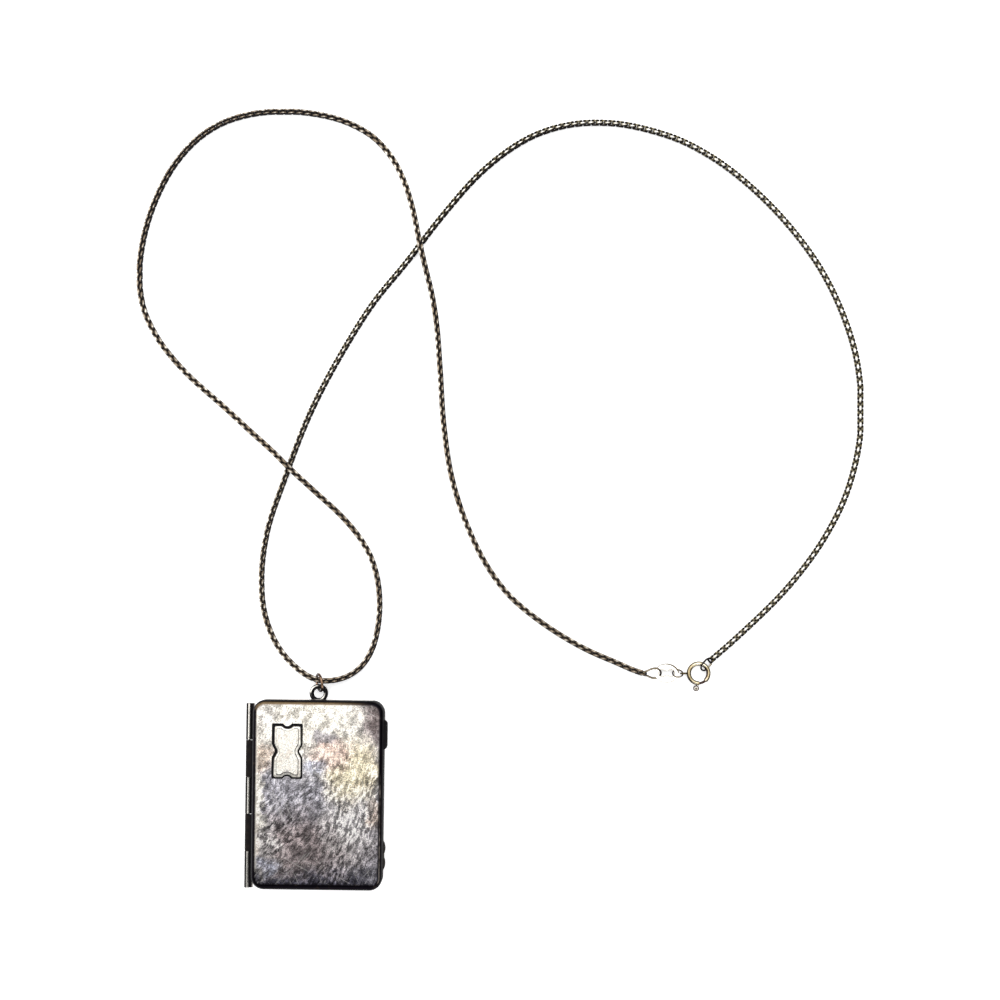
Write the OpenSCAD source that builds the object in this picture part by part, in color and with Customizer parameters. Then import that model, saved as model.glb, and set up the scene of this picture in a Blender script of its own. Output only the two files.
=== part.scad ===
// Locket necklace, lying flat on its back: a hammered book locket on a long box chain, with a jump
// ring at the locket and a spring ring clasp with an oval tag where the chain closes.
// X runs to the right, Y towards the top of the necklace, Z up from the surface that it lies on.
// The origin is under the middle of the whole necklace.

/* [Locket case] */
// Width of the case, without the hinge
case_w = 32.4; // [30:0.2:34]
// Height of the case, without the bail
case_h = 46.8; // [44:0.2:49]
// Radius of the case corners, seen from the front
corner_r = 3.2; // [2.6:0.1:4]
// Depth of the back half
back_d = 3.1; // [2.8:0.1:3.6]
// Depth of the front half
front_d = 2.8; // [2.6:0.1:3.4]
// Gap between the closed halves
seam_gap = 0.1; // [0.05:0.01:0.2]
// Thickness of the silver sheet
sheet = 0.6; // [0.5:0.05:0.8]
// Rounding of the outer edges
edge_r = 1.2; // [0.9:0.1:1.5]
// Middle of the case, across
case_x = -45.05; // [-46:0.05:-44]
// Middle of the case, along
case_y = -73.6; // [-75:0.05:-73]
// Turn of the locket on the surface, clockwise
case_turn = 0.75; // [0:0.05:2]

/* [Closing lip] */
// Height of the lip above the seam
lip_rise = 0.6; // [0.3:0.1:0.9]
// Thickness of the lip
lip_t = 0.35; // [0.3:0.05:0.5]
// Clearance between the lip and the cover
lip_clear = 0.12; // [0.08:0.01:0.2]

/* [Hinge] */
// Number of knuckles along the hinge
knuckles = 5; // [3:2:7]
// Length of the hinge barrel
hinge_len = 45.8; // [42:0.2:46]
// Radius of the barrel
barrel_r = 0.62; // [0.55:0.01:0.7]
// Distance from the case wall to the hinge axis
hinge_out = 1.25; // [1.2:0.05:1.6]
// How far the hinge sits below the middle of the case
hinge_drop = 0.45; // [0:0.05:0.6]
// Radius of the hinge pin
pin_r = 0.27; // [0.22:0.01:0.3]
// Running clearance round the pin
pin_clear = 0.03; // [0.02:0.01:0.06]
// Gap between neighbouring knuckles
knuckle_gap = 0.1; // [0.06:0.01:0.2]
// Thickness of the leaf that carries a knuckle
leaf_t = 0.5; // [0.4:0.05:0.55]

/* [Thumb catches] */
// Length of each catch along the edge
catch_len = 7.4; // [6:0.2:9]
// How far the cover's catch stands out
cover_catch_out = 0.85; // [0.6:0.05:1.2]
// How far the lobes of the worn back catch stand out
back_catch_out = 0.55; // [0.4:0.05:0.8]
// Distance of each catch from the middle of the case
catch_y = 15.1; // [12:0.1:17]
// Thickness of a catch
catch_t = 1.5; // [1:0.1:1.7]

/* [Cartouche] */
// Width of the raised plate on the cover
plate_w = 6.6; // [5:0.1:9]
// Height of the raised plate
plate_h = 12.6; // [10:0.1:16]
// Place of the plate, across from the middle of the cover
plate_x = -7.4; // [-9:0.1:-5]
// Place of the plate, up from the middle of the cover
plate_y = 10.8; // [8:0.1:13]
// Rise of the plate's flat field above the cover
plate_rise = 0.3; // [0.2:0.05:0.4]
// Width of the sunk bevel round the field
bevel_w = 0.5; // [0.4:0.05:0.9]
// Width of the dark groove round the plate
groove_w = 0.45; // [0.15:0.05:0.5]
// Depth of that groove
groove_d = 0.15; // [0.1:0.05:0.25]
// Width of the round notch in each end of the plate
end_notch_w = 2.6; // [2:0.1:2.8]
// Depth of the round notch
end_notch = 0.65; // [0.5:0.05:0.8]
// Width of the vee in each side of the plate
side_notch_w = 3.5; // [3:0.1:4]
// Depth of the vee
side_notch = 0.8; // [0.7:0.05:1.2]

/* [Bail and jump ring] */
// Outer diameter of the bail loop
bail_od = 4.65; // [4.3:0.05:4.7]
// Wire diameter of the bail loop
bail_wire = 1.15; // [0.8:0.05:1.2]
// Height of the middle of the bail above the surface
bail_z = 2.2; // [1.8:0.05:2.4]
// Place of the bail, across from the middle of the case
bail_x = -0.3; // [-1:0.1:1]
// Distance from the case edge to the middle of the bail
bail_out = 1.6; // [1.4:0.05:1.7]
// Width of the bail's solder foot at the case
foot_w = 3.8; // [3:0.1:4.4]
// Width of the foot at the loop
neck_w = 2.2; // [1.6:0.1:2.6]
// Outer diameter of the jump ring
jump_od = 4.9; // [4.8:0.05:5.2]
// Wire diameter of the jump ring
jump_wire = 0.65; // [0.5:0.05:0.65]
// Lean of the jump ring from upright
jump_lean = 24; // [15:1:26]
// Turn of the jump ring about the upright
jump_turn = 8; // [2:1:8]

/* [Chain] */
// Width of the box chain
chain_w = 1.5; // [1.3:0.05:1.6]

/* [Clasp] */
// Middle of the spring ring, across
clasp_x = 49.5; // [49:0.1:50]
// Middle of the spring ring, along
clasp_y = -43.7; // [-44.2:0.1:-43.2]
// Height of the middle of the clasp parts
clasp_z = 1.2; // [1.18:0.01:1.3]
// Outer diameter of the spring ring
clasp_od = 6; // [5.8:0.1:6.2]
// Diameter of the spring ring's tube
clasp_tube = 1.1; // [1:0.05:1.15]
// Wall of the tube
tube_wall = 0.15; // [0.12:0.01:0.2]
// Clearance between the tube and the tongue inside it
tongue_clear = 0.08; // [0.05:0.01:0.1]
// Angle where the mouth of the ring starts
mouth_from = -88; // [-95:1:-80]
// Angle where the mouth of the ring ends
mouth_to = -48; // [-55:1:-40]
// Angle of the thumb knob at rest
knob_at = -100; // [-104:1:-97]
// Angle that the tongue travels
travel = 40; // [30:1:42]
// Diameter of the thumb knob
knob_d = 1.45; // [1.2:0.05:1.6]

/* [Oval tag] */
// Length of the tag
tag_w = 6.1; // [5.8:0.1:6.4]
// Height of the tag
tag_h = 4.7; // [4.5:0.1:5.2]
// Radius of the tag's ends
tag_end_r = 1.8; // [1.6:0.1:2]
// Thickness of the tag
tag_t = 0.4; // [0.3:0.05:0.45]
// Middle of the tag, across
tag_x = 41.5; // [41.3:0.1:41.7]
// Middle of the tag, along
tag_y = -43.6; // [-43.9:0.1:-43.3]
// Height of the slot at its round ends
slot_h = 1.8; // [1.6:0.05:2]
// Height of the slot between its ends
slot_waist = 1.1; // [0.8:0.05:1.3]
// Length of the slot
slot_len = 4; // [3.9:0.05:4.1]

/* [Hidden] */
$fn = 64;

silver = [0.62, 0.60, 0.58];
dark_silver = [0.40, 0.38, 0.38];
bright_silver = [0.85, 0.83, 0.78];
chain_silver = [0.66, 0.62, 0.55];
bronze = [0.55, 0.42, 0.33];

// Case, worked out from the driving sizes
half_w = case_w / 2;
half_h = case_h / 2;
case_t = back_d + seam_gap + front_d;
inner_r = edge_r - sheet;
notch_flat = 0.6;
catch_end_r = 1.2;
// How far soldered pieces run into each other
overlap = 0.2;
hinge_x = -half_w - hinge_out;
hinge_z = back_d + seam_gap / 2;
hinge_start = -hinge_len / 2 - hinge_drop;
knuckle_pitch = hinge_len / knuckles;

// Chain route from the tag round both small loops and the neck loop to the spring ring, through the
// middle of the chain. The tag side passes over the clasp side in two long low humps, and both sides
// rise a little where the jump ring holds them.
route = [
    [35, -43.5, 1.1], [29, -41, 0.8], [22, -38, 0.75], [16.5, -35, 0.75], [9, -30, 0.75],
    [2.5, -24.5, 0.75], [-3.5, -16.5, 0.75], [-7.5, -8.5, 0.75], [-12, 5, 0.75], [-14, 18, 0.75],
    [-15, 33, 0.75], [-16, 45, 1], [-17, 51, 1.5], [-18.5, 57, 2.1], [-20, 63.5, 2.5],
    [-21.5, 71, 2.1], [-23, 76.5, 1.4], [-27, 85, 0.8], [-31.5, 90, 0.75], [-37.5, 93.5, 0.75],
    [-47, 96, 0.75], [-54.5, 96.5, 0.75], [-63.5, 95.5, 0.75], [-69.5, 93.5, 0.75], [-75, 90, 0.75],
    [-81, 83.5, 0.75], [-85, 76.5, 0.75], [-89, 64.5, 0.75], [-90, 55.5, 0.75], [-89, 47.5, 0.75],
    [-85.5, 40, 0.75], [-80, 33, 0.75], [-68, 22, 0.8], [-61.5, 16, 1.4], [-57, 12, 2.1],
    [-53, 8, 2.5], [-46, 1.5, 1.8], [-40, -4, 1], [-36, -8.5, 0.75], [-32.5, -14, 0.75],
    [-30.5, -20.5, 0.75], [-30, -26.5, 0.75], [-30.5, -32.5, 0.75], [-32, -38, 0.8],
    [-34.5, -42, 1.1], [-38, -44.5, 1.5], [-42, -45.5, 2.1], [-44.5, -45.5, 2.3],
    [-47.5, -44.5, 2.1], [-51, -42, 1.5], [-54, -39, 1], [-57, -34, 0.75], [-59, -27.5, 0.75],
    [-59.5, -20.5, 0.75], [-58, -8, 0.75], [-54, 4, 0.75], [-47, 22, 0.75], [-39, 37, 0.75],
    [-31, 49.5, 0.75], [-24, 58, 0.75], [-13.5, 71.5, 0.75], [-5, 81, 0.75], [1, 86, 0.75],
    [8.5, 90.5, 0.75], [16.5, 93, 0.75], [28.5, 93.5, 0.75], [38.5, 91.5, 0.75],
    [44.5, 89.5, 0.75], [53, 85, 0.75], [65.5, 75, 0.75], [72.5, 67.5, 0.75], [79.5, 58, 0.75],
    [85.5, 46, 0.75], [89, 34.5, 0.75], [90, 26.5, 0.75], [90, 17, 0.75], [88.5, 8, 0.75],
    [86, 0, 0.75], [81.5, -9, 0.75], [72, -22, 0.75], [61.5, -32.5, 0.9], [53, -40, 1.1]
];
// The two halves of the chain meet inside the jump ring
join = 47;
chain_sides = 8;

// How far the straight wires of a ring run into its arcs
bead = 0.05;

// Jump ring, held where the chain passes the bail wire
jump_x = -44.85;
jump_y = -45.95;
jump_z = 2.36;

// Clasp, worked out from the driving sizes
tube_r = clasp_tube / 2;
clasp_r = clasp_od / 2 - tube_r;
bore_r = tube_r - tube_wall;
tongue_r = bore_r - tongue_clear;
stem_r = 0.18;
slot_end_r = slot_h / 2;

// Wires of the two rings that the ends of the chain hang in
end_wire_r = 0.23;
chain_ring_wire_r = 0.22;

// Torus with its axis along Z, or the part of it that starts at angle from
module torus(ring_r, wire_r, from = 0, angle = 360) {
    rotate([0, 0, from])
        rotate_extrude(angle = angle)
            translate([ring_r, 0]) circle(r = wire_r);
}

// Closed wire loop, drop shaped: a big arc at the origin and a small arc at distance span along +X
module drop_loop(big_r, small_r, span, wire_r) {
    lean = asin((big_r - small_r) / span);
    run = span * cos(lean);
    torus(big_r, wire_r, 90 - lean, 180 + 2 * lean);
    translate([span, 0, 0]) torus(small_r, wire_r, -(90 - lean), 180 - 2 * lean);
    for (side = [-1, 1])
        translate([big_r * sin(lean), side * big_r * cos(lean), 0])
            rotate([0, 90, -side * lean])
                translate([0, 0, -bead]) cylinder(r = wire_r + bead / 5, h = run + 2 * bead);
}

// Puts something made about the middle of the case in its place on the surface
module on_locket() {
    translate([case_x, case_y, 0]) rotate([0, 0, -case_turn]) children();
}

// Carries a wall profile round the case. X of the profile runs outwards from the corner axis
module sweep_wall(sides = [0, 1, 2, 3], corners = [0, 1, 2, 3]) {
    run_x = case_w - 2 * corner_r;
    run_y = case_h - 2 * corner_r;
    for (k = sides)
        rotate([0, 0, 90 * k])
            translate([(k % 2 == 0 ? run_x : run_y) / 2, (k % 2 == 0 ? run_y : run_x) / 2, 0])
                rotate([90, 0, 0])
                    linear_extrude(k % 2 == 0 ? run_y : run_x) children();
    for (k = corners)
        rotate([0, 0, 90 * k])
            translate([(k % 2 == 0 ? run_x : run_y) / 2, (k % 2 == 0 ? run_y : run_x) / 2, 0])
                rotate_extrude(angle = 90) children();
}

// Section through the wall of one half: rounded outside, hollow inside, open at the top
module wall_profile(depth) {
    difference() {
        square([corner_r, depth]);
        difference() {
            translate([corner_r - edge_r, 0]) square(edge_r);
            translate([corner_r - edge_r, edge_r]) circle(r = edge_r);
        }
        translate([0, sheet + inner_r]) square([corner_r - sheet, depth]);
        translate([0, sheet]) square([corner_r - edge_r, depth]);
        translate([corner_r - edge_r, edge_r]) circle(r = inner_r);
    }
}

// One half of the case, lying on its outer face
module half_shell(depth) {
    sweep_wall() wall_profile(depth);
    translate([-half_w + corner_r, -half_h + corner_r, 0])
        cube([case_w - 2 * corner_r, case_h - 2 * corner_r, sheet]);
}

// Lip inside the back half, on every side but the hinge's, that the cover closes over
module closing_lip() {
    lip_out = corner_r - sheet - lip_clear;
    sweep_wall(sides = [0, 1, 3], corners = [0, 3])
        union() {
            translate([lip_out - lip_t, back_d - lip_rise])
                square([lip_t, 2 * lip_rise]);
            translate([lip_out - lip_t, back_d - lip_rise])
                square([lip_t + lip_clear + overlap, lip_rise - seam_gap]);
        }
}

// Knuckles number first, first + 2 and so on, with their leaves. up is 1 for the cover, -1 for the back
module knuckle_row(first, up) {
    for (k = [first : 2 : knuckles - 1])
        translate([hinge_x, hinge_start + k * knuckle_pitch + knuckle_gap / 2, hinge_z]) {
            rotate([-90, 0, 0]) cylinder(r = barrel_r, h = knuckle_pitch - knuckle_gap);
            translate([0, 0, up > 0 ? seam_gap / 2 : -seam_gap / 2 - leaf_t])
                cube([hinge_out + overlap, knuckle_pitch - knuckle_gap, leaf_t]);
        }
}

// Bore through the whole row of knuckles
module hinge_bore() {
    translate([hinge_x, hinge_start - overlap, hinge_z])
        rotate([-90, 0, 0]) cylinder(r = pin_r + pin_clear, h = hinge_len + 2 * overlap);
}

// Ledge with round ends and a straight front that stands out of the right-hand wall
module edge_ledge(y, z, length, out, thick) {
    reach = out - catch_end_r;
    end_y = length / 2 - sqrt(catch_end_r * catch_end_r - reach * reach);
    intersection() {
        translate([half_w + reach, y, z])
            linear_extrude(thick) union() {
                for (side = [-1, 1]) translate([0, side * end_y]) circle(r = catch_end_r);
                translate([0, -end_y]) square([catch_end_r, 2 * end_y]);
            }
        translate([half_w - overlap, y - length, z]) cube([out + 2 * overlap, 2 * length, thick]);
    }
}

// Lens shaped lobe that stands out of the right-hand wall
module edge_lobe(y, z, length, out, thick) {
    lobe_r = (length * length / 4 + out * out) / (2 * out);
    intersection() {
        translate([half_w + out - lobe_r, y, z]) cylinder(r = lobe_r, h = thick, $fn = 128);
        translate([half_w - overlap, y - length, z]) cube([out + 2 * overlap, 2 * length, thick]);
    }
}

// Bail loop, open to the front, with the flared solder foot that joins it to the case
module bail() {
    ring_r = (bail_od - bail_wire) / 2;
    foot_top = bail_out - ring_r + bail_wire / 4;
    foot_edge = 0.1;
    translate([bail_x, half_h, bail_z]) {
        translate([0, bail_out, 0]) torus(ring_r, bail_wire / 2);
        translate([0, 0, -bail_wire / 2])
            linear_extrude(bail_wire)
                polygon([[-foot_w / 2, -overlap], [-foot_w / 2, foot_edge], [-neck_w / 2, foot_top],
                    [neck_w / 2, foot_top], [foot_w / 2, foot_edge], [foot_w / 2, -overlap]]);
    }
}

module back_case() {
    color(dark_silver) on_locket() difference() {
        union() {
            half_shell(back_d);
            closing_lip();
            knuckle_row(0, -1);
            bail();
            edge_lobe(-catch_y, back_d - seam_gap - catch_t, catch_len, back_catch_out / 2, catch_t);
            for (side = [-1, 1])
                edge_lobe(-catch_y + side * catch_len / 4, back_d - seam_gap - catch_t, catch_len / 2,
                    back_catch_out, catch_t);
        }
        hinge_bore();
    }
}

// Outline of the raised plate, grown by grow: a rectangle with a round notch in the middle of each end
// and a vee with a flat bottom in the middle of each side
module plate_outline(grow) {
    w = plate_w / 2 + grow;
    h = plate_h / 2 + grow;
    notch_r = (end_notch_w * end_notch_w / 4 + end_notch * end_notch) / (2 * end_notch);
    difference() {
        square([2 * w, 2 * h], center = true);
        for (side = [-1, 1]) {
            translate([0, side * (plate_h / 2 - end_notch + notch_r)]) circle(r = notch_r - grow);
            polygon([[side * (w + overlap), side_notch_w / 2 + overlap], [side * w, side_notch_w / 2],
                [side * (w - side_notch), notch_flat / 2], [side * (w - side_notch), -notch_flat / 2],
                [side * w, -side_notch_w / 2], [side * (w + overlap), -side_notch_w / 2 - overlap]]);
        }
    }
}

module front_cover() {
    color(silver) on_locket() difference() {
        union() {
            translate([0, 0, case_t]) mirror([0, 0, 1]) half_shell(front_d);
            knuckle_row(1, 1);
            edge_ledge(catch_y, back_d + 2 * seam_gap, catch_len, cover_catch_out, catch_t);
            translate([plate_x, plate_y, case_t - groove_d]) {
                linear_extrude(groove_d + plate_rise / 2) plate_outline(0);
                linear_extrude(groove_d + plate_rise) plate_outline(-bevel_w);
            }
        }
        translate([plate_x, plate_y, case_t - groove_d])
            linear_extrude(2 * groove_d) difference() {
                plate_outline(groove_w);
                plate_outline(0);
            }
        hinge_bore();
    }
}

module hinge_pin() {
    color(dark_silver) on_locket()
        translate([hinge_x, hinge_start, hinge_z])
            rotate([-90, 0, 0]) cylinder(r = pin_r, h = hinge_len);
}

module jump_ring() {
    color(bronze)
        translate([jump_x, jump_y, jump_z])
            rotate([0, 0, jump_turn]) rotate([0, 90 + jump_lean, 0])
                torus((jump_od - jump_wire) / 2, jump_wire / 2);
}

// Sweeps an eight-sided tube along the route from one point to another
function flat(v) = [v[0], v[1], 0] / norm([v[0], v[1]]);
function heading(i) = flat(route[min(i + 1, len(route) - 1)] - route[max(i - 1, 0)]);
function section(i) = let (t = heading(i), side = [-t[1], t[0], 0], r = chain_w / 2 / cos(180 / chain_sides))
    [for (k = [0 : chain_sides - 1]) let (a = 360 * (k + 0.5) / chain_sides)
        route[i] + r * cos(a) * side + r * sin(a) * [0, 0, 1]];
function skin(rings) = [for (i = [0 : rings - 2], k = [0 : chain_sides - 1])
    let (n = (k + 1) % chain_sides, a = i * chain_sides, b = a + chain_sides)
        each [[a + k, a + n, b + n], [a + k, b + n, b + k]]];

module chain_tube(first, last) {
    rings = last - first + 1;
    polyhedron(
        points = [for (i = [first : last]) each section(i)],
        faces = concat([[for (k = [chain_sides - 1 : -1 : 0]) k]], skin(rings),
            [[for (k = [0 : chain_sides - 1]) (rings - 1) * chain_sides + k]]));
}

module chain_tag_side() {
    color(chain_silver) chain_tube(0, join);
}

module chain_clasp_side() {
    color(chain_silver) chain_tube(join, len(route) - 1);
}

// Drop shaped ring between the end of the chain and the tag, over the tag on its far side
module left_end_ring() {
    big_r = 1.6;
    small_r = 0.3;
    span = 2.6;
    lean = 37;
    color(bright_silver)
        translate([tag_x - tag_w / 2 + 0.05, tag_y - 0.05, clasp_z])
            rotate([lean, 0, 0]) mirror([1, 0, 0]) drop_loop(big_r, small_r, span, end_wire_r);
}

// Plain oval plate with a waisted slot. Two wide arcs meet the two end arcs smoothly
module oval_tag() {
    end_x = tag_w / 2 - tag_end_r;
    wide_r = (end_x * end_x + tag_h * tag_h / 4 - tag_end_r * tag_end_r) / (tag_h - 2 * tag_end_r);
    meet_x = end_x * wide_r / (wide_r - tag_end_r);
    color(bright_silver)
        translate([tag_x, tag_y, clasp_z - tag_t / 2]) difference() {
            union() {
                for (side = [-1, 1])
                    translate([side * end_x, 0, 0]) cylinder(r = tag_end_r, h = tag_t);
                intersection() {
                    translate([0, tag_h / 2 - wide_r, 0]) cylinder(r = wide_r, h = tag_t);
                    translate([0, wide_r - tag_h / 2, 0]) cylinder(r = wide_r, h = tag_t);
                    translate([-meet_x, -tag_h / 2, 0]) cube([2 * meet_x, tag_h, tag_t]);
                }
            }
            for (side = [-1, 1])
                translate([side * (slot_len / 2 - slot_end_r), 0, -tag_t])
                    cylinder(r = slot_end_r, h = 3 * tag_t);
            translate([-slot_len / 2 + slot_end_r, -slot_waist / 2, -tag_t])
                cube([slot_len - slot_h, slot_waist, 3 * tag_t]);
        }
}

// Small ring between the tag and the loop of the clasp
module tag_ring() {
    ring_r = 1.25;
    wire_r = 0.18;
    lean = -45;
    color(silver)
        translate([tag_x + tag_w / 2 - 0.25, tag_y - 0.1, clasp_z])
            rotate([lean, 0, 0]) torus(ring_r, wire_r);
}

// Spring ring tube with its mouth, the slot that the knob slides in, and the loop it hangs by
module clasp_body() {
    loop_r = 0.8;
    loop_wire_r = 0.22;
    slot_w = 0.5;
    slot_over = 6;
    color(bright_silver) translate([clasp_x, clasp_y, clasp_z]) difference() {
        union() {
            torus(clasp_r, tube_r, mouth_to, 360 - (mouth_to - mouth_from));
            translate([-clasp_r - tube_r - loop_r + tube_wall, 0, 0])
                rotate([90, 0, 0]) torus(loop_r, loop_wire_r);
        }
        torus(clasp_r, bore_r);
        rotate([0, 0, knob_at - travel - slot_over])
            rotate_extrude(angle = travel + 2 * slot_over)
                translate([clasp_r, -slot_w / 2]) square([clasp_tube, slot_w]);
    }
}

// Sliding tongue inside the tube, with the knob that draws it back
module clasp_trigger() {
    knob_r = knob_d / 2;
    knob_t = 0.8;
    knob_clear = 0.05;
    tongue_from = mouth_from - 77;
    tongue_to = mouth_to + 3;
    color(bright_silver) translate([clasp_x, clasp_y, clasp_z]) {
        torus(clasp_r, tongue_r, tongue_from, tongue_to - tongue_from);
        rotate([0, 0, knob_at]) {
            translate([clasp_r, 0, 0]) rotate([0, 90, 0]) cylinder(r = stem_r, h = tube_r + knob_r);
            translate([clasp_r + tube_r + knob_clear + knob_r, 0, -knob_t / 2])
                cylinder(r = knob_r, h = knob_t);
        }
    }
}

// Ring between the spring ring and the last link of the chain
module right_end_ring() {
    big_r = 1.3;
    small_r = 1.25;
    span = 1;
    towards_chain = 49;
    lean = 42;
    color(dark_silver)
        translate([clasp_x, clasp_y, clasp_z])
            rotate([0, 0, towards_chain]) translate([clasp_od / 2 + 0.45, 0, 0])
                rotate([lean, 0, 0]) mirror([1, 0, 0]) drop_loop(big_r, small_r, span, chain_ring_wire_r);
}

back_case();
front_cover();
hinge_pin();
jump_ring();
chain_tag_side();
chain_clasp_side();
left_end_ring();
oval_tag();
tag_ring();
clasp_body();
clasp_trigger();
right_end_ring();
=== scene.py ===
# %% [markdown]
# # A hammered silver locket on a long box chain
# The necklace lies on a white table, seen from almost straight above. The frame that is loaded first
# holds the working parts at their real size, and every cell below dresses one of them. Its places
# are in metres, but a jeweller thinks in millimetres, so sizes are written as numbers times MM.

# %% Load the frame
import math
from functools import reduce

import bmesh
import bpy
import numpy as np
from mathutils import Matrix, Vector


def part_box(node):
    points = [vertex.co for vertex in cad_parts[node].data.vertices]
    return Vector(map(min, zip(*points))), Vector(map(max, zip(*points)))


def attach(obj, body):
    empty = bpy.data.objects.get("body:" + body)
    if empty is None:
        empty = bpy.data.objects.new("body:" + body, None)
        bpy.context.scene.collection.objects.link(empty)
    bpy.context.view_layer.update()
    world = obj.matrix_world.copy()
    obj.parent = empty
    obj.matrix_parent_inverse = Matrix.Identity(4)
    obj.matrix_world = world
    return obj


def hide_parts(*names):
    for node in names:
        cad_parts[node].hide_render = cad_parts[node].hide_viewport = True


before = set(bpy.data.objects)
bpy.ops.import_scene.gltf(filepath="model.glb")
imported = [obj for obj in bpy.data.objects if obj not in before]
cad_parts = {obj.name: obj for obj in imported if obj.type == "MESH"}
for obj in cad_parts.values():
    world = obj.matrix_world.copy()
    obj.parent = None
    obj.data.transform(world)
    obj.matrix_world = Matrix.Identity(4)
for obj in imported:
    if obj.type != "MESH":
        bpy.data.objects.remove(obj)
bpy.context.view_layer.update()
MM = 0.001
scene = bpy.context.scene

# %% [markdown]
# ## The camera
# The photograph looks straight down from about 37 cm, with the lens a little below the middle of the
# necklace. A camera that is tilted would squeeze the far side, so this one stays level and the
# picture is slid back over the necklace with the lens shift, as on a copy stand.

# %% Camera
CAMERA_HEIGHT = 375 * MM
CAMERA_BACK = 29 * MM
PICTURE_WIDTH = 250 * MM
PICTURE_MIDDLE_Y = -0.4 * MM
SENSOR = 36

camera_data = bpy.data.cameras.new("copy_stand")
camera_data.sensor_width = SENSOR
camera_data.lens = SENSOR * CAMERA_HEIGHT / PICTURE_WIDTH
camera_data.shift_y = (PICTURE_MIDDLE_Y + CAMERA_BACK) / PICTURE_WIDTH
camera_data.clip_start = 10 * MM
camera = bpy.data.objects.new("copy_stand", camera_data)
camera.location = (0, -CAMERA_BACK, CAMERA_HEIGHT)
scene.collection.objects.link(camera)
scene.camera = camera
scene.view_settings.view_transform = "Standard"
print("lens in mm:", round(camera_data.lens, 1), "shift:", round(camera_data.shift_y, 3))

# %% [markdown]
# ## Small helpers for node trees
# Materials and Geometry Nodes are both trees of nodes. Made by hand, each node takes a line to
# create and a line for every link. `add` does both at once: a value that is a socket becomes a link,
# and anything else is typed into the socket. The helpers after it are the sums that come up again
# and again, and they work in both kinds of tree.

# %% Node helpers
COLUMNS = 14
COLUMN_STEP, ROW_STEP = 190, 330


def add(tree, kind, settings=None, sockets=None):
    """A new node with its settings, and its inputs linked or filled in."""
    place = len(tree.nodes)
    node = tree.nodes.new(kind)
    node.location = (place % COLUMNS * COLUMN_STEP, -(place // COLUMNS) * ROW_STEP)
    for name, value in (settings or {}).items():
        setattr(node, name, value)
    for key, value in (sockets or {}).items():
        if isinstance(value, bpy.types.NodeSocket):
            tree.links.new(value, node.inputs[key])
        else:
            node.inputs[key].default_value = value
    return node


def maths(tree, operation, *values):
    """One step of arithmetic."""
    return add(tree, "ShaderNodeMath", {"operation": operation}, dict(enumerate(values))).outputs[0]


def product(tree, *values):
    """All the values multiplied. Of masks, it is where they all lie."""
    return reduce(lambda so_far, value: maths(tree, "MULTIPLY", so_far, value), values)


def largest(tree, *values):
    """The largest of the values. Of masks, it is where any of them lies."""
    return reduce(lambda so_far, value: maths(tree, "MAXIMUM", so_far, value), values)


def ramp(tree, value, start, end, low=0.0, high=1.0):
    """A soft step: low before start, high after end. Start may be the larger of the two."""
    if start > end:
        start, end, low, high = end, start, high, low
    sockets = {"Value": value, "From Min": start, "From Max": end, "To Min": low, "To Max": high}
    return add(tree, "ShaderNodeMapRange", {"interpolation_type": "SMOOTHSTEP"}, sockets).outputs[0]


def band(tree, value, start, full, fall, end):
    """1 between full and fall, and 0 before start and after end."""
    return product(tree, ramp(tree, value, start, full), ramp(tree, value, end, fall))


def mix(tree, share, first, second):
    """A value between first and second."""
    return add(tree, "ShaderNodeMix", {"data_type": "FLOAT"}, {0: share, 2: first, 3: second}).outputs[0]


def mix_colour(tree, share, first, second):
    """A colour between first and second."""
    return add(tree, "ShaderNodeMix", {"data_type": "RGBA"}, {0: share, 6: first, 7: second}).outputs[2]


def noise(tree, vector, scale, detail=2.0, roughness=0.5, output=0):
    """Cloudy noise between 0 and 1."""
    sockets = {"Vector": vector, "Scale": scale, "Detail": detail, "Roughness": roughness}
    return add(tree, "ShaderNodeTexNoise", None, sockets).outputs[output]


# %% Vector helpers
def vector_maths(tree, operation, *values, output=0):
    """One step of arithmetic with vectors."""
    node = add(tree, "ShaderNodeVectorMath", {"operation": operation}, dict(enumerate(values)))
    return node.outputs[output]


def xyz(tree, vector):
    """The three parts of a vector."""
    return tuple(add(tree, "ShaderNodeSeparateXYZ", None, {0: vector}).outputs)


def scaled(tree, vector, factor):
    """A vector made longer, or a colour made brighter."""
    sockets = {0: vector, "Scale": factor}
    return add(tree, "ShaderNodeVectorMath", {"operation": "SCALE"}, sockets).outputs[0]


def rotated(tree, vector, angle):
    """A vector turned about Z."""
    sockets = {"Vector": vector, "Angle": angle}
    return add(tree, "ShaderNodeVectorRotate", {"rotation_type": "Z_AXIS"}, sockets).outputs[0]


def oval_distance(tree, place, middle, reach):
    """Distance from the middle of an oval, which is 1 on its rim."""
    centred = vector_maths(tree, "SUBTRACT", place, (*middle, 0))
    squashed = vector_maths(tree, "MULTIPLY", centred, (1 / reach[0], 1 / reach[1], 0))
    return vector_maths(tree, "LENGTH", squashed, output="Value")


def new_group(name, kind, inputs, outputs):
    """An empty node group with named sockets. Returns the tree, its input node and output node."""
    tree = bpy.data.node_groups.new(name, kind)
    for socket, socket_type, value in inputs:
        made = tree.interface.new_socket(socket, in_out="INPUT", socket_type=socket_type)
        if value is not None:
            made.default_value = value
    for socket, socket_type in outputs:
        tree.interface.new_socket(socket, in_out="OUTPUT", socket_type=socket_type)
    return tree, add(tree, "NodeGroupInput"), add(tree, "NodeGroupOutput")


# %% [markdown]
# ## Where the locket lies
# The case is turned a little on the table. Everything on it is drawn about its own middle, upright,
# and put in place at the end. The materials do the same the other way round: `on_case` turns a place
# in the scene back into millimetres across and up the case, so that marks and stains stay put.

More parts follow.
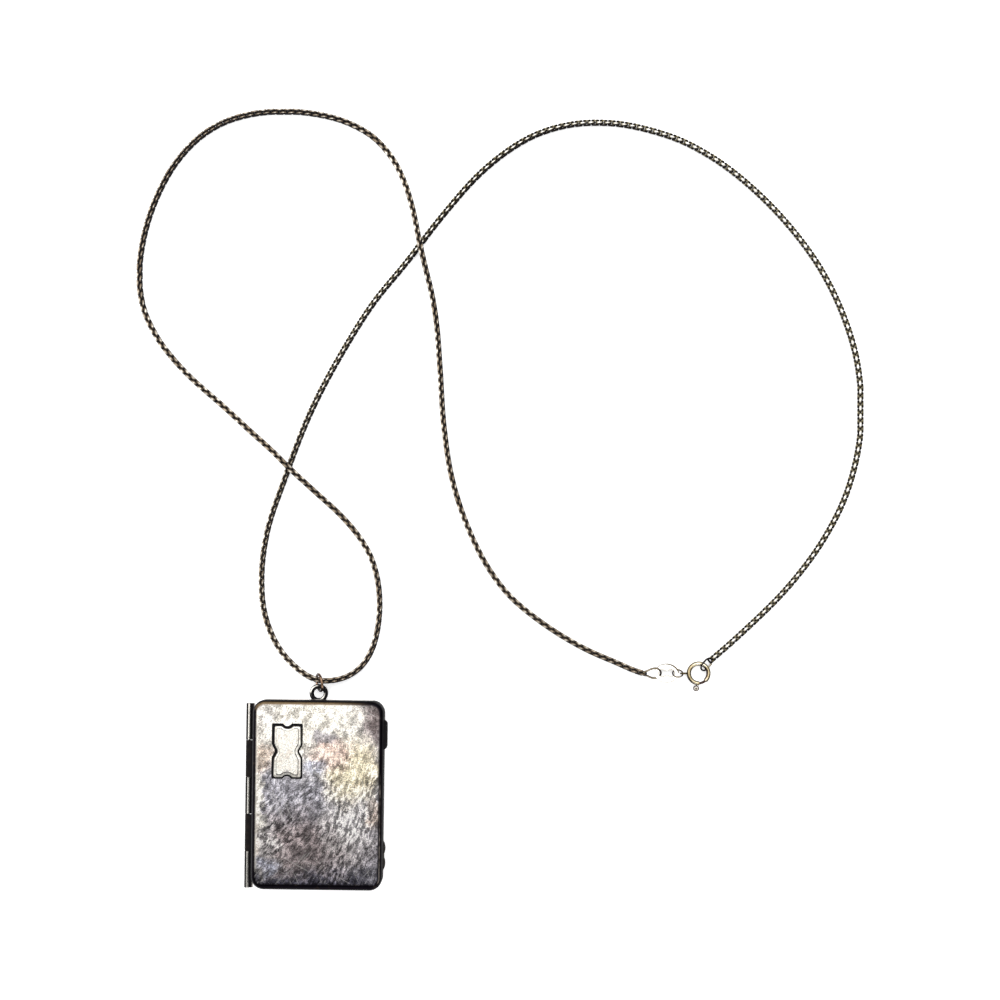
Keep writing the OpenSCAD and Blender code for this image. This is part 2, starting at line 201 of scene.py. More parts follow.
# %% Locket place and sizes
CASE_MIDDLE = Vector((-45.05, -73.6, 0)) * MM
CASE_TURN = math.radians(-0.75)
CASE_W, CASE_H = 32.4 * MM, 46.8 * MM
CORNER_R, EDGE_R, SHEET = 3.2 * MM, 1.2 * MM, 0.6 * MM
BACK_D, FRONT_D, SEAM = 3.1 * MM, 2.8 * MM, 0.1 * MM
CASE_T = BACK_D + SEAM + FRONT_D
PLATE_X, PLATE_Y = -7.4 * MM, 10.8 * MM
case_place = Matrix.Translation(CASE_MIDDLE) @ Matrix.Rotation(CASE_TURN, 4, "Z")


def on_case(tree, position):
    """A place in the scene as millimetres from the middle of the case."""
    centred = vector_maths(tree, "SUBTRACT", position, tuple(CASE_MIDDLE))
    return scaled(tree, rotated(tree, centred, -CASE_TURN), 1 / MM)


low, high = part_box("front_cover")
print("cover box in mm:", [round(v / MM, 2) for v in (*low, *high)])

# %% [markdown]
# ## Hammer marks
# A planishing hammer leaves shallow, slanting dents that meet in soft ridges, which is what the
# nearest-cell distance of a Voronoi texture gives when its cells are stretched. Two sets that lean
# differently are mixed across the cover, because the maker's hand turned as it moved. The same
# recipe is used twice: Geometry Nodes press it into the metal, and the material darkens its
# hollows, so both have to draw the very same cells.

# %% Hammer recipe
DENT_LONG, DENT_WIDE = 2.1, 0.85
STROKE_LONG, STROKE_WIDE = 3.2, 1.4
LEAN_LEFT, LEAN_RIGHT = math.radians(54), math.radians(72)
STROKE_SHARE = 0.8
WANDER = 1.4


def leaning(tree, place, lean, long, wide):
    """Coordinates in which a leaning stroke of this size becomes a round spot."""
    return vector_maths(tree, "MULTIPLY", rotated(tree, place, -lean), (1 / long, 1 / wide, 0))


def hammer_marks(tree, place, lean):
    """Height of the marks of one lean: 0 in the hollows, 1 on the ridges."""
    settings = {"feature": "SMOOTH_F1", "voronoi_dimensions": "2D"}
    sockets = {"Vector": leaning(tree, place, lean, DENT_LONG, DENT_WIDE), "Scale": 1.0,
               "Smoothness": 0.3, "Randomness": 1.0}
    cells = add(tree, "ShaderNodeTexVoronoi", settings, sockets).outputs["Distance"]
    strokes = noise(tree, leaning(tree, place, lean, STROKE_LONG, STROKE_WIDE), 1.6, 3.0, 0.6)
    return mix(tree, STROKE_SHARE, ramp(tree, cells, 0.05, 0.8), ramp(tree, strokes, 0.28, 0.72))


def hammer_height(tree, place):
    """Height of the hammered face at a place on the case, and how deep the marks are there."""
    wander = noise(tree, place, 0.25, 3.0, output="Color")
    shifted = vector_maths(tree, "MULTIPLY_ADD", wander, (WANDER, WANDER, 0), place)
    x, y, _ = xyz(tree, place)
    height = mix(tree, ramp(tree, x, -5.0, 6.0),
                 hammer_marks(tree, shifted, LEAN_LEFT), hammer_marks(tree, shifted, LEAN_RIGHT))
    patches = ramp(tree, noise(tree, place, 0.14), 0.35, 0.65, 0.55, 1.2)
    return height, product(tree, patches, ramp(tree, y, 14.0, 2.0, 0.35, 1.0))


def edge_distance(tree, place):
    """Millimetres from the nearest side of the case, measured round its corners."""
    x, y, _ = xyz(tree, place)
    past = [maths(tree, "SUBTRACT", maths(tree, "ABSOLUTE", part), (size / 2 - CORNER_R) / MM)
            for part, size in ((x, CASE_W), (y, CASE_H))]
    squares = [maths(tree, "POWER", maths(tree, "MAXIMUM", gap, 0.0), 2.0) for gap in past]
    in_corner = maths(tree, "SQRT", maths(tree, "ADD", *squares))
    in_middle = maths(tree, "MINIMUM", largest(tree, *past), 0.0)
    return maths(tree, "SUBTRACT", maths(tree, "SUBTRACT", CORNER_R / MM, in_corner), in_middle)


# %% [markdown]
# ## Shared finishes
# Two effects come up on every piece of old silver. Tarnish lies in clouds: it is warm where thin and
# dark where thick. Scratches are hairlines that run in a few main directions. Each one is a node
# group, built once, and each material places it with its own amounts and colours.

# %% Tarnish group
tarnish, source, result = new_group(
    "tarnish", "ShaderNodeTree",
    [("Vector", "NodeSocketVector", None), ("Scale", "NodeSocketFloat", 400.0),
     ("Amount", "NodeSocketFloat", 0.5), ("Silver", "NodeSocketColor", (0.86, 0.83, 0.78, 1)),
     ("Warm", "NodeSocketColor", (0.48, 0.38, 0.28, 1)), ("Dark", "NodeSocketColor", (0.1, 0.09, 0.1, 1))],
    [("Color", "NodeSocketColor"), ("Mask", "NodeSocketFloat")])
clouds = noise(tarnish, source.outputs["Vector"], source.outputs["Scale"], 5.0, 0.62)
spread = maths(tarnish, "ADD", clouds, maths(tarnish, "SUBTRACT", source.outputs["Amount"], 0.5))
thin = ramp(tarnish, spread, 0.35, 0.6)
thick = ramp(tarnish, spread, 0.52, 0.78)
warm = mix_colour(tarnish, thin, source.outputs["Silver"], source.outputs["Warm"])
tarnish.links.new(mix_colour(tarnish, thick, warm, source.outputs["Dark"]), result.inputs["Color"])
tarnish.links.new(thick, result.inputs["Mask"])
print("tarnish nodes:", len(tarnish.nodes))

# %% Scratch group
SCRATCH_ANGLES = (0.5, 1.15, 2.3)
SCRATCH_STRETCH = (0.06, 1.0, 1.0)

scratches, source, result = new_group(
    "scratches", "ShaderNodeTree",
    [("Vector", "NodeSocketVector", None), ("Scale", "NodeSocketFloat", 900.0),
     ("Share", "NodeSocketFloat", 0.5)],
    [("Mask", "NodeSocketFloat")])
hairlines = []
for angle in SCRATCH_ANGLES:
    drawn = rotated(scratches, source.outputs["Vector"], angle)
    drawn = vector_maths(scratches, "MULTIPLY", drawn, SCRATCH_STRETCH)
    hairlines.append(ramp(scratches, noise(scratches, drawn, source.outputs["Scale"], 2.0, 0.6), 0.62, 0.7))
lines = product(scratches, largest(scratches, *hairlines), source.outputs["Share"])
scratches.links.new(lines, result.inputs["Mask"])
print("scratch nodes:", len(scratches.nodes))

# %% [markdown]
# ## A silver material
# All the metals here are one recipe with different amounts: a metallic Principled shader, tarnish
# for its colour, scratches in its roughness, and a fine bump so that no reflection is perfectly
# clean. Dirt gathers where surfaces nearly touch, which the ambient occlusion node finds.

# %% Metal helpers
# Dull near-black, used for dirt and for painted shade
DULL_BLACK = (0.008, 0.007, 0.008, 1)
DULL_BLACK_METALLIC, DULL_BLACK_ROUGHNESS = 0.1, 0.75
RAGGED_LIMIT = 0.2


def group_node(tree, group, sockets):
    """Places a shared node group in a material."""
    return add(tree, "ShaderNodeGroup", {"node_tree": group}, sockets)


def new_material(name):
    """An empty material with a Principled shader, and a place in metres to hang patterns on."""
    material = bpy.data.materials.new(name)
    material.use_nodes = True
    tree = material.node_tree
    shader = tree.nodes["Principled BSDF"]
    shader.inputs["Metallic"].default_value = 1.0
    shader.inputs["Specular IOR Level"].default_value = 0.1
    place = add(tree, "ShaderNodeTexCoord").outputs["Object"]
    return material, tree, shader, place


def crevice(tree, reach):
    """1 where the surface is nearly shut in by its own piece within reach."""
    sight = add(tree, "ShaderNodeAmbientOcclusion", {"samples": 8, "only_local": True}, {"Distance": reach})
    return ramp(tree, sight.outputs["AO"], 0.85, 0.45)


def metal_with_dull_black(tree, shader, colour, dirt_and_shade, roughness):
    """Connects the shader: bare metal where the mask is 0, and dull black where it is 1. The mask holds
    dirt, and painted shade where a material adds it.
    """
    tree.links.new(mix_colour(tree, dirt_and_shade, colour, DULL_BLACK), shader.inputs["Base Color"])
    tree.links.new(ramp(tree, dirt_and_shade, 0.0, 1.0, 1.0, DULL_BLACK_METALLIC), shader.inputs["Metallic"])
    tree.links.new(mix(tree, dirt_and_shade, roughness, DULL_BLACK_ROUGHNESS), shader.inputs["Roughness"])


def bumpy(tree, shader, height, distance, strength=0.5):
    """Roughens the shader's normal with a height between 0 and 1."""
    bump = add(tree, "ShaderNodeBump", None, {"Height": height, "Strength": strength, "Distance": distance})
    tree.links.new(bump.outputs[0], shader.inputs["Normal"])


def facing(tree, place, start, end, direction=(0, 0, 1)):
    """1 where the surface looks that way, with a ragged limit. The materials use it for painted light and
    shade: wire is painted lighter on the side that faces the light.
    """
    way = tuple(Vector(direction).normalized())
    normal = add(tree, "ShaderNodeTexCoord").outputs["Normal"]
    seen = vector_maths(tree, "DOT_PRODUCT", normal, way, output="Value")
    worn_and_lit = maths(tree, "MULTIPLY_ADD", noise(tree, place, 900.0, 3.0), RAGGED_LIMIT, seen)
    return ramp(tree, worn_and_lit, start + RAGGED_LIMIT / 2, end + RAGGED_LIMIT / 2)


# %% [markdown]
# The rings, the tag and the clasp are too small for clouds alone. What the eye reads on them is a
# dark rim here and a brown hole there, so each metal also gets a few stains, listed one by one. A
# stain is a colour and an oval in the scene, in millimetres, with two limits between which the
# colour comes in: outwards when the second limit is the larger, and inwards when it is the smaller.
# Some stains are painted shade: a dark rim on the side away from the light, or a shadow where a ring passes
# under the tag or through the bail.

# %% Silver recipe
POLISH, TARNISHED = 0.22, 0.42
SCRATCH_ROUGHNESS = 0.12


def silver(name, clean, warm, dark, amount, flank_shade, stains=()):
    """Silver that is tarnished in clouds on top, painted darker on its flanks as shade, and dirty in
    corners.
    """
    material, tree, shader, place = new_material(name)
    stain = group_node(tree, tarnish, {"Vector": place, "Scale": 420.0, "Amount": amount,
                                       "Silver": clean, "Warm": warm, "Dark": dark})
    marks = group_node(tree, scratches, {"Vector": place, "Scale": 2600.0, "Share": 0.6})
    rough = mix(tree, stain.outputs["Mask"], POLISH, TARNISHED)
    rough = maths(tree, "MULTIPLY_ADD", marks.outputs["Mask"], SCRATCH_ROUGHNESS, rough)
    # Painted shade: flanks that face away from the light above take the flank colour
    colour = mix_colour(tree, facing(tree, place, 0.74, 0.95), flank_shade, stain.outputs["Color"])
    in_mm = scaled(tree, place, 1 / MM)
    for tint, middle, reach, limits in stains:
        inked = ramp(tree, oval_distance(tree, in_mm, middle, reach), *limits)
        colour = mix_colour(tree, inked, colour, tint)
    metal_with_dull_black(tree, shader, colour, crevice(tree, 0.4 * MM), rough)
    bumpy(tree, shader, noise(tree, place, 2400.0, 3.0), 0.02 * MM, 0.25)
    print(name, "stains:", len(stains), "nodes:", len(tree.nodes))
    return material


# %% Metals of the findings
OLIVE, COFFEE, INK = (0.13, 0.105, 0.06, 1), (0.05, 0.032, 0.025, 1), (0.02, 0.015, 0.012, 1)
STRAW, BRONZE, CHOCOLATE = (0.24, 0.2, 0.12, 1), (0.08, 0.06, 0.03, 1), (0.1, 0.06, 0.04, 1)

# The spring ring: painted shade along its outer rim at the lower left, a darker inner rim at the right, and
# the loop to the tag
clasp_silver = silver(
    "clasp_silver", (0.86, 0.8, 0.66, 1), (0.46, 0.37, 0.21, 1), (0.13, 0.095, 0.05, 1), 0.55, OLIVE,
    [(INK, (49.85, -43.35), (3.0, 3.0), (1.0, 1.1)),
     (COFFEE, (49.85, -43.6), (1.95, 1.95), (1.04, 0.96)),
     (BRONZE, (45.8, -43.7), (0.9, 0.9), (1.1, 0.8))])
# The tongue's knob: its rim and a dot in its middle
knob_silver = silver(
    "knob_silver", (0.5, 0.48, 0.44, 1), (0.36, 0.33, 0.28, 1), (0.2, 0.17, 0.13, 1), 0.45, OLIVE,
    [(COFFEE, (48.84, -47.42), (0.725, 0.725), (0.55, 0.75)),
     (BRONZE, (48.84, -47.5), (0.3, 0.34), (1.1, 0.6))])
# The tag: painted shade lines along its upper and lower rim, a painted shadow line, and painted shade round
# both ends and the waist of its slot
tag_silver = silver(
    "tag_silver", (0.97, 0.96, 0.93, 1), (0.9, 0.87, 0.8, 1), (0.7, 0.66, 0.56, 1), 0.2, OLIVE,
    [(STRAW, (41.5, -44.745), (3.495, 3.495), (0.95, 0.975)),
     (STRAW, (41.5, -42.455), (3.495, 3.495), (0.96, 0.98)),
     (BRONZE, (41.25, -44.9), (3.495, 3.495), (0.96, 0.985)),
     (STRAW, (40.4, -43.6), (1.0, 1.0), (1.06, 0.98)),
     (STRAW, (42.6, -43.6), (1.0, 1.0), (1.06, 0.98)),
     (STRAW, (41.5, -43.6), (1.2, 0.66), (1.06, 0.98))])
# The ring between chain and tag, with a painted shadow where it passes under the tag's rim, and the tag's
# own ring
ring_silver = silver(
    "ring_silver", (0.5, 0.42, 0.3, 1), (0.24, 0.19, 0.11, 1), (0.05, 0.04, 0.03, 1), 0.5, COFFEE,
    [(INK, (39.4, -43.7), (0.55, 0.55), (1.1, 0.7))])
# The ring between the spring ring and the chain
end_silver = silver(
    "end_silver", (0.62, 0.54, 0.4, 1), (0.3, 0.24, 0.14, 1), (0.05, 0.04, 0.03, 1), 0.45, COFFEE,
    [(INK, (51.95, -41.5), (1.15, 1.15), (0.98, 1.12))])
pin_silver = silver("pin_silver", (0.6, 0.57, 0.53, 1), (0.3, 0.25, 0.2, 1), DULL_BLACK, 0.5, COFFEE)
# The jump ring: a painted shadow where it passes through the bail, and darker at its top
ring_copper = silver(
    "ring_copper", (0.62, 0.42, 0.3, 1), (0.3, 0.19, 0.12, 1), (0.07, 0.04, 0.03, 1), 0.5, CHOCOLATE,
    [(INK, (-45.0, -47.7), (1.0, 1.0), (1.1, 0.7)),
     (COFFEE, (-45.9, -43.9), (0.8, 0.8), (1.1, 0.6))])

# %% [markdown]
# The back is made of the same silver, and its barrels and the bail are rubbed brighter. Painted shade
# darkens the rest of them: the lower parts and left flanks of the barrels, the leaves by the hinge, the
# bail except where it faces up towards the upper left, and the right-hand wall with the corner above it.

# %% Back material
RUBBED_SILVER = (0.84, 0.81, 0.74, 1)
WALL_SHADE = 0.93

case_silver, tree, shader, place = new_material("case_silver")
stain = group_node(tree, tarnish, {"Vector": place, "Scale": 300.0, "Amount": 0.5,
                                   "Silver": (0.5, 0.46, 0.41, 1), "Warm": (0.3, 0.26, 0.24, 1),
                                   "Dark": (0.1, 0.085, 0.09, 1)})
marks = group_node(tree, scratches, {"Vector": place, "Scale": 1600.0, "Share": 0.7})
x, y, z = xyz(tree, on_case(tree, place))
by_hinge = ramp(tree, x, -16.0, -16.3)
# Painted shade on the lower parts and left flanks of the barrels, and on the leaves
hinge_shade = product(tree, by_hinge, largest(tree, ramp(tree, z, 3.62, 3.5), ramp(tree, x, -17.4, -17.6)))
above_case = ramp(tree, y, 23.4, 23.6)
# Painted shade on the bail, except where it faces up towards the upper left
bail_lit_side = facing(tree, place, 0.92, 0.985, (-0.4, 0.3, 0.9))
bail_shade = product(tree, above_case, maths(tree, "SUBTRACT", 1.0, bail_lit_side))
# Painted shade on the right-hand wall and the corner above it
right_wall = largest(tree, ramp(tree, x, 15.6, 16.0), ramp(tree, maths(tree, "ADD", x, y), 36.4, 37.0))
wall_shade = product(tree, right_wall, WALL_SHADE)
dirt_and_shade = largest(tree, hinge_shade, bail_shade, wall_shade, crevice(tree, 0.5 * MM))
rough = mix(tree, stain.outputs["Mask"], 0.25, 0.45)
rough = maths(tree, "MULTIPLY_ADD", marks.outputs["Mask"], SCRATCH_ROUGHNESS, rough)
colour = mix_colour(tree, largest(tree, above_case, product(tree, by_hinge, 0.8)),
                    stain.outputs["Color"], RUBBED_SILVER)
metal_with_dull_black(tree, shader, colour, dirt_and_shade, rough)
bumpy(tree, shader, noise(tree, place, 2000.0, 4.0), 0.03 * MM, 0.4)
print("back nodes:", len(tree.nodes))

# %% [markdown]
# ## The chain's finish
# A worn box chain is bright only where it rubs: the outer flats of its links are a warm champagne
# colour, their edges are brown, and black is painted where one link holds the next, as dirt and as
# the shade in the gaps. Which is which depends on the place on the link, not on the scene, so every
# link carries a value, `recess`, that is 0 on its outer flats and 1 at its ends. Two more values
# belong to the whole link. `along` says how far along the chain it is, because the half by the
# spring ring, which lies on the neck, is rubbed brighter than the loops. `tone` is random, and makes
# some links browner than the next. The sides that face away from the light are painted as shade.

# %% Chain material
CHAMPAGNE, CHAIN_WARM, CHAIN_DARK = (0.95, 0.9, 0.8, 1), (0.45, 0.36, 0.26, 1), (0.12, 0.09, 0.065, 1)
NECK_SILVER = (0.95, 0.92, 0.84, 1)
LOOP_EDGE, NECK_EDGE = (0.19, 0.145, 0.1, 1), (0.14, 0.115, 0.055, 1)
SHADED_SIDE = (0.6, -0.8, 0.1)

chain_silver, tree, shader, place = new_material("chain_silver")
recess, along, tone = (add(tree, "ShaderNodeAttribute", {"attribute_name": name}).outputs["Fac"]
                       for name in ("recess", "along", "tone"))
stain = group_node(tree, tarnish, {"Vector": place, "Scale": 260.0, "Amount": 0.45, "Silver": CHAMPAGNE,
                                   "Warm": CHAIN_WARM, "Dark": CHAIN_DARK})
cleaner = ramp(tree, along, 0.5, 0.7)
rubbed_and_shaded = mix_colour(tree, ramp(tree, tone, 0.3, 1.0, 0.0, 0.5), stain.outputs["Color"], CHAIN_DARK)
rubbed_and_shaded = mix_colour(tree, product(tree, cleaner, 0.85), rubbed_and_shaded, NECK_SILVER)
edge = mix_colour(tree, cleaner, LOOP_EDGE, NECK_EDGE)
rubbed_and_shaded = mix_colour(tree, ramp(tree, recess, 0.04, 0.3), rubbed_and_shaded, edge)
# Painted shade: sides that do not face up are coffee brown
rubbed_and_shaded = mix_colour(tree, facing(tree, place, 0.2, 0.65), COFFEE, rubbed_and_shaded)
# Painted shade: the side that faces away from the light is ink dark
shaded = facing(tree, place, 0.2, 0.5, SHADED_SIDE)
rubbed_and_shaded = mix_colour(tree, shaded, rubbed_and_shaded, INK)
# Black in the bends is dirt and painted shade and spreads further on the neck; on the loops the shaded side
# gets painted shade too
on_neck = ramp(tree, along, 0.5, 0.62)
deep_dirt_and_shade = mix(tree, on_neck, ramp(tree, recess, 0.56, 0.84), ramp(tree, recess, 0.33, 0.72))
loop_shade = mix(tree, on_neck, product(tree, shaded, 0.9), 0.0)
metal_with_dull_black(tree, shader, rubbed_and_shaded, largest(tree, deep_dirt_and_shade, loop_shade), noise(tree, place, 900.0))
bumpy(tree, shader, noise(tree, place, 2600.0), 0.02 * MM, 0.2)
print("chain nodes:", len(tree.nodes))

# %% [markdown]
# ## The cover's finish
# The cover has the most to say. Its upper part was rubbed clean and is a pale cream, the right side
# has gold and rose tints of thin tarnish, the middle is lavender grey, and the lower edge goes to
# blue-black. A painted image could hold all this, but it would blur when the camera comes close. So
# each zone is one soft spot on the case, placed in millimetres from its middle, and noise
# tears the edges of all of them.
# The pale cream of the upper part is partly painted light, the cream strip down the hinge side is a painted
# highlight, and the blue-black of the lower edge is partly painted shade.

# %% Cover zones
CREAM = (0.7, 0.655, 0.575, 1)
LAVENDER = (0.25, 0.24, 0.262, 1)
UMBER = (0.175, 0.142, 0.138, 1)
BLUE_BLACK = (0.035, 0.034, 0.048, 1)
ROSE = (0.54, 0.39, 0.33, 1)
GOLD = (0.68, 0.59, 0.4, 1)
PEARL = (0.45, 0.425, 0.415, 1)
SKY = (0.33, 0.335, 0.4, 1)
TAN = (0.62, 0.47, 0.36, 1)
# Colour, middle across and up, reach across and up, strength
ZONES = [
    (UMBER, -6.0, -13.0, 24.0, 11.0, 0.9),
    (PEARL, 8.0, -3.5, 8.0, 14.0, 0.75),
    # Pale upper part, partly rubbed clean and partly painted light
    (CREAM, -3.0, 19.5, 21.0, 15.0, 1.0),
    # Painted highlight down the hinge side
    (CREAM, -15.6, -4.5, 2.8, 25.0, 1.0),
    (PEARL, -13.0, -12.0, 5.0, 7.0, 0.6),
    (GOLD, 9.0, 6.0, 9.0, 9.0, 0.8),
    (ROSE, 3.6, 10.3, 6.2, 4.5, 0.82),
    (LAVENDER, 1.8, 13.8, 3.2, 2.6, 0.75),
    (UMBER, 15.0, 18.5, 5.0, 8.0, 1.0),
    (PEARL, -14.0, 20.0, 4.5, 4.0, 0.45),
    (TAN, -13.5, 9.5, 3.5, 4.5, 0.65),
    (TAN, -15.2, -12.5, 1.8, 6.0, 0.6),
    (SKY, -0.8, 7.2, 4.0, 2.8, 0.8),
    (SKY, -13.2, -17.2, 3.4, 2.6, 0.8),
    (TAN, 13.6, -5.0, 2.2, 4.0, 0.5),
]


def soft_spot(tree, place, x, y, reach_x, reach_y):
    """1 in the middle of an oval, fading to 0 past its rim."""
    return ramp(tree, oval_distance(tree, place, (x, y), (reach_x, reach_y)), 1.2, 0.3)


def ragged(tree, place, scale, amount):
    """The place pushed about by noise, so that what is drawn there gets a torn edge."""
    cloud = noise(tree, place, scale, 5.0, output="Color")
    push = vector_maths(tree, "MULTIPLY_ADD", cloud, (amount, amount, 0), (-amount / 2, -amount / 2, 0))
    return vector_maths(tree, "ADD", place, push)


cover_silver, tree, shader, place = new_material("cover_silver")
case_mm = on_case(tree, place)
x, y, z = xyz(tree, case_mm)
torn = ragged(tree, ragged(tree, case_mm, 0.22, 9.0), 1.3, 3.5)
colour = LAVENDER
for zone, *oval, strength in ZONES:
    colour = mix_colour(tree, product(tree, soft_spot(tree, torn, *oval), strength), colour, zone)
# The lower end goes to blue-black, partly tarnish and partly painted shade
colour = mix_colour(tree, ramp(tree, xyz(tree, torn)[1], -17.0, -21.5, 0.0, 0.92), colour, BLUE_BLACK)
print("zones:", len(ZONES), "nodes:", len(tree.nodes))

# %% [markdown]
# Over the zones lies a mottle that follows the hammer: ridges are rubbed bright and hollows stay
# dark. Finer noise makes speckles and blotches in it. Then come marks brighter than the metal round
# them: scratches, which are wear, and painted highlights, in slanting flecks on the lower part and in
# a strip down the hinge side.

# %% Cover mottle, wear and painted highlights
RIDGE_GAIN, HOLLOW_GAIN, MOTTLE_SHARE = 2.15, 0.37, 0.85
FLECK_LONG, FLECK_WIDE = 1.7, 0.55
SCRATCHED, FLECK_HIGHLIGHT = (0.7, 0.67, 0.64, 1), (0.74, 0.7, 0.68, 1)
STRIP_HIGHLIGHT = (0.8, 0.74, 0.66, 1)
BRIGHTEST = (0.92, 0.9, 0.86)

height, depth = hammer_height(tree, case_mm)
gain = mix(tree, ramp(tree, height, 0.3, 0.72), HOLLOW_GAIN, RIDGE_GAIN)
gain = mix(tree, product(tree, depth, MOTTLE_SHARE), 1.0, gain)
speckle = noise(tree, case_mm, 3.0, 5.0, 0.75)
blotches = ramp(tree, noise(tree, case_mm, 0.4, 5.0, 0.65), 0.36, 0.64, 0.5, 1.38)
colour = scaled(tree, colour, product(tree, gain, ramp(tree, speckle, 0.34, 0.64, 0.3, 1.75), blotches))
marks = group_node(tree, scratches, {"Vector": place, "Scale": 1300.0, "Share": 1.0}).outputs["Mask"]
colour = mix_colour(tree, product(tree, marks, 0.25), colour, SCRATCHED)
# Painted highlights: slanting flecks on the lower part
fleck_place = leaning(tree, case_mm, LEAN_LEFT, FLECK_LONG, FLECK_WIDE)
fleck_highlights = ramp(tree, noise(tree, fleck_place, 1.8, 3.0, 0.6), 0.6, 0.7)
colour = mix_colour(tree, product(tree, fleck_highlights, ramp(tree, y, 9.0, -2.0), 0.55), colour, FLECK_HIGHLIGHT)
# Painted highlight: a strip down the hinge side
strip_highlight = product(tree, ramp(tree, x, -14.3, -15.3), ramp(tree, y, -19.5, -17.0),
                ramp(tree, speckle, 0.3, 0.5, 0.25, 0.85))
colour = mix_colour(tree, strip_highlight, colour, STRIP_HIGHLIGHT)
colour = vector_maths(tree, "MINIMUM", colour, BRIGHTEST)
print("nodes with the mottle and wear:", len(tree.nodes))

# %% [markdown]
# The cartouche was wiped clean around its engraving place, so it is paler than the cover, with fine
# specks and one grey smudge. It is told from the cover by its height over the face.

# %% Cartouche colour
BARE, SPECKED = (0.8, 0.77, 0.7, 1), (0.5, 0.41, 0.33, 1)
SMUDGE = (0.4, 0.38, 0.37, 1)
SMUDGE_DOWN, SMUDGE_W, SMUDGE_H = 5.0, 1.5, 0.9

over_face = maths(tree, "SUBTRACT", z, CASE_T / MM)
specks = ramp(tree, noise(tree, case_mm, 0.9, 6.0, 0.75), 0.45, 0.7, 0.0, 0.7)
bare = mix_colour(tree, specks, BARE, SPECKED)
smudge = soft_spot(tree, torn, PLATE_X / MM, PLATE_Y / MM - SMUDGE_DOWN, SMUDGE_W, SMUDGE_H)
bare = mix_colour(tree, product(tree, smudge, 0.6), bare, SMUDGE)
bare = mix_colour(tree, 0.6, bare, scaled(tree, bare, ramp(tree, speckle, 0.34, 0.64, 0.3, 1.6)))
colour = mix_colour(tree, ramp(tree, over_face, 0.05, 0.07), colour, bare)
print("nodes with the cartouche:", len(tree.nodes))

# %% [markdown]
# The sides are nearly black, and so is the lower end, partly as tarnish and partly as painted shade.
# They turn brown in a painted reflection along the upper edge, in a painted sheen by the hinge, and
# where hands have worn them here and there. A thin rubbed line runs along the rounded edge at the
# lower right, painted brighter as a highlight.

# %% Cover sides
SIDE_BLACK, SIDE_BROWN = (0.005, 0.004, 0.006, 1), (0.15, 0.105, 0.06, 1)
EDGE_LINE = (0.42, 0.37, 0.33, 1)

rim = edge_distance(tree, case_mm)
# Painted nearly black on the sides and lower end, partly tarnish and partly shade
side = ramp(tree, maths(tree, "MULTIPLY_ADD", speckle, -0.6, rim), 1.1, 0.55)
side = largest(tree, side, ramp(tree, maths(tree, "MULTIPLY_ADD", speckle, 1.2, y), -20.7, -21.5))
patchy = noise(tree, case_mm, 0.8, 4.0)
# Painted reflection: brown along the upper edge
top_edge_reflection = product(tree, ramp(tree, y, 20.5, 22.0), ramp(tree, x, 14.0, 2.0), ramp(tree, rim, 0.3, 0.5),
                ramp(tree, speckle, 0.25, 0.6, 0.3, 1.0))
# Painted sheen by the hinge
sheen = product(tree, ramp(tree, x, -16.6, -17.0), ramp(tree, patchy, 0.4, 0.65, 0.05, 0.45))
worn_and_lit = largest(tree, top_edge_reflection, sheen, ramp(tree, patchy, 0.6, 0.8, 0.0, 0.2))
colour = mix_colour(tree, side, colour, mix_colour(tree, worn_and_lit, SIDE_BLACK, SIDE_BROWN))
# A thin rubbed line at the lower right, painted brighter as a highlight
broken = ramp(tree, noise(tree, case_mm, 0.35, 3.0), 0.36, 0.6, 0.1, 0.8)
lower_right = product(tree, ramp(tree, x, 4.0, 12.0), ramp(tree, y, 6.0, 0.0), ramp(tree, y, -21.8, -20.6))
edge_line = product(tree, band(tree, rim, 0.5, 0.62, 0.74, 0.86), broken, lower_right)
colour = mix_colour(tree, edge_line, colour, EDGE_LINE)
print("nodes with the sides:", len(tree.nodes))

# %% [markdown]
# Dirt lies in the groove. The walls are painted dark as dirt and shade, and thin lines of painted
# shade run where the cartouche steps up: the line round its field is stronger at the lower right, and
# the one round its border at the upper left. The inside of the cover, which shows when it is open, is
# clean and pale.

# %% Cover dirt, painted shade and lining
LINING, LINING_SPECKED = (0.62, 0.59, 0.54, 1), (0.42, 0.38, 0.33, 1)

in_groove = product(tree, ramp(tree, over_face, -0.1, -0.14), ramp(tree, rim, 1.4, 1.8))
# Painted dark on the walls, as dirt and shade
wall = product(tree, ramp(tree, over_face, -0.45, -0.9, 0.0, 0.85), side)
to_lower_right = maths(tree, "SUBTRACT", x, y)
# Painted shade where the cartouche steps up, stronger on one side
field_step_shade = product(tree, band(tree, over_face, 0.145, 0.16, 0.28, 0.295),
                     ramp(tree, to_lower_right, -22.0, -16.0, 0.35, 1.0))
border_step_shade = product(tree, band(tree, over_face, 0.05, 0.07, 0.09, 0.115),
                      ramp(tree, to_lower_right, -14.0, -22.0, 0.2, 1.0))
dirt_and_shade = largest(tree, in_groove, wall, field_step_shade, border_step_shade, crevice(tree, 0.4 * MM))
inside = product(tree, ramp(tree, over_face, -0.42, -0.5), ramp(tree, rim, 0.48, 0.56))
colour = mix_colour(tree, inside, colour, mix_colour(tree, specks, LINING, LINING_SPECKED))
rough = mix(tree, noise(tree, case_mm, 1.3, 4.0), 0.2, 0.5)
metal_with_dull_black(tree, shader, colour, mix(tree, inside, dirt_and_shade, 0.0), rough)
grit = maths(tree, "MULTIPLY_ADD", marks, 0.4, noise(tree, case_mm, 3.2, 4.0, 0.6))
bumpy(tree, shader, grit, 0.01 * MM)
print("nodes of the whole finish:", len(tree.nodes))

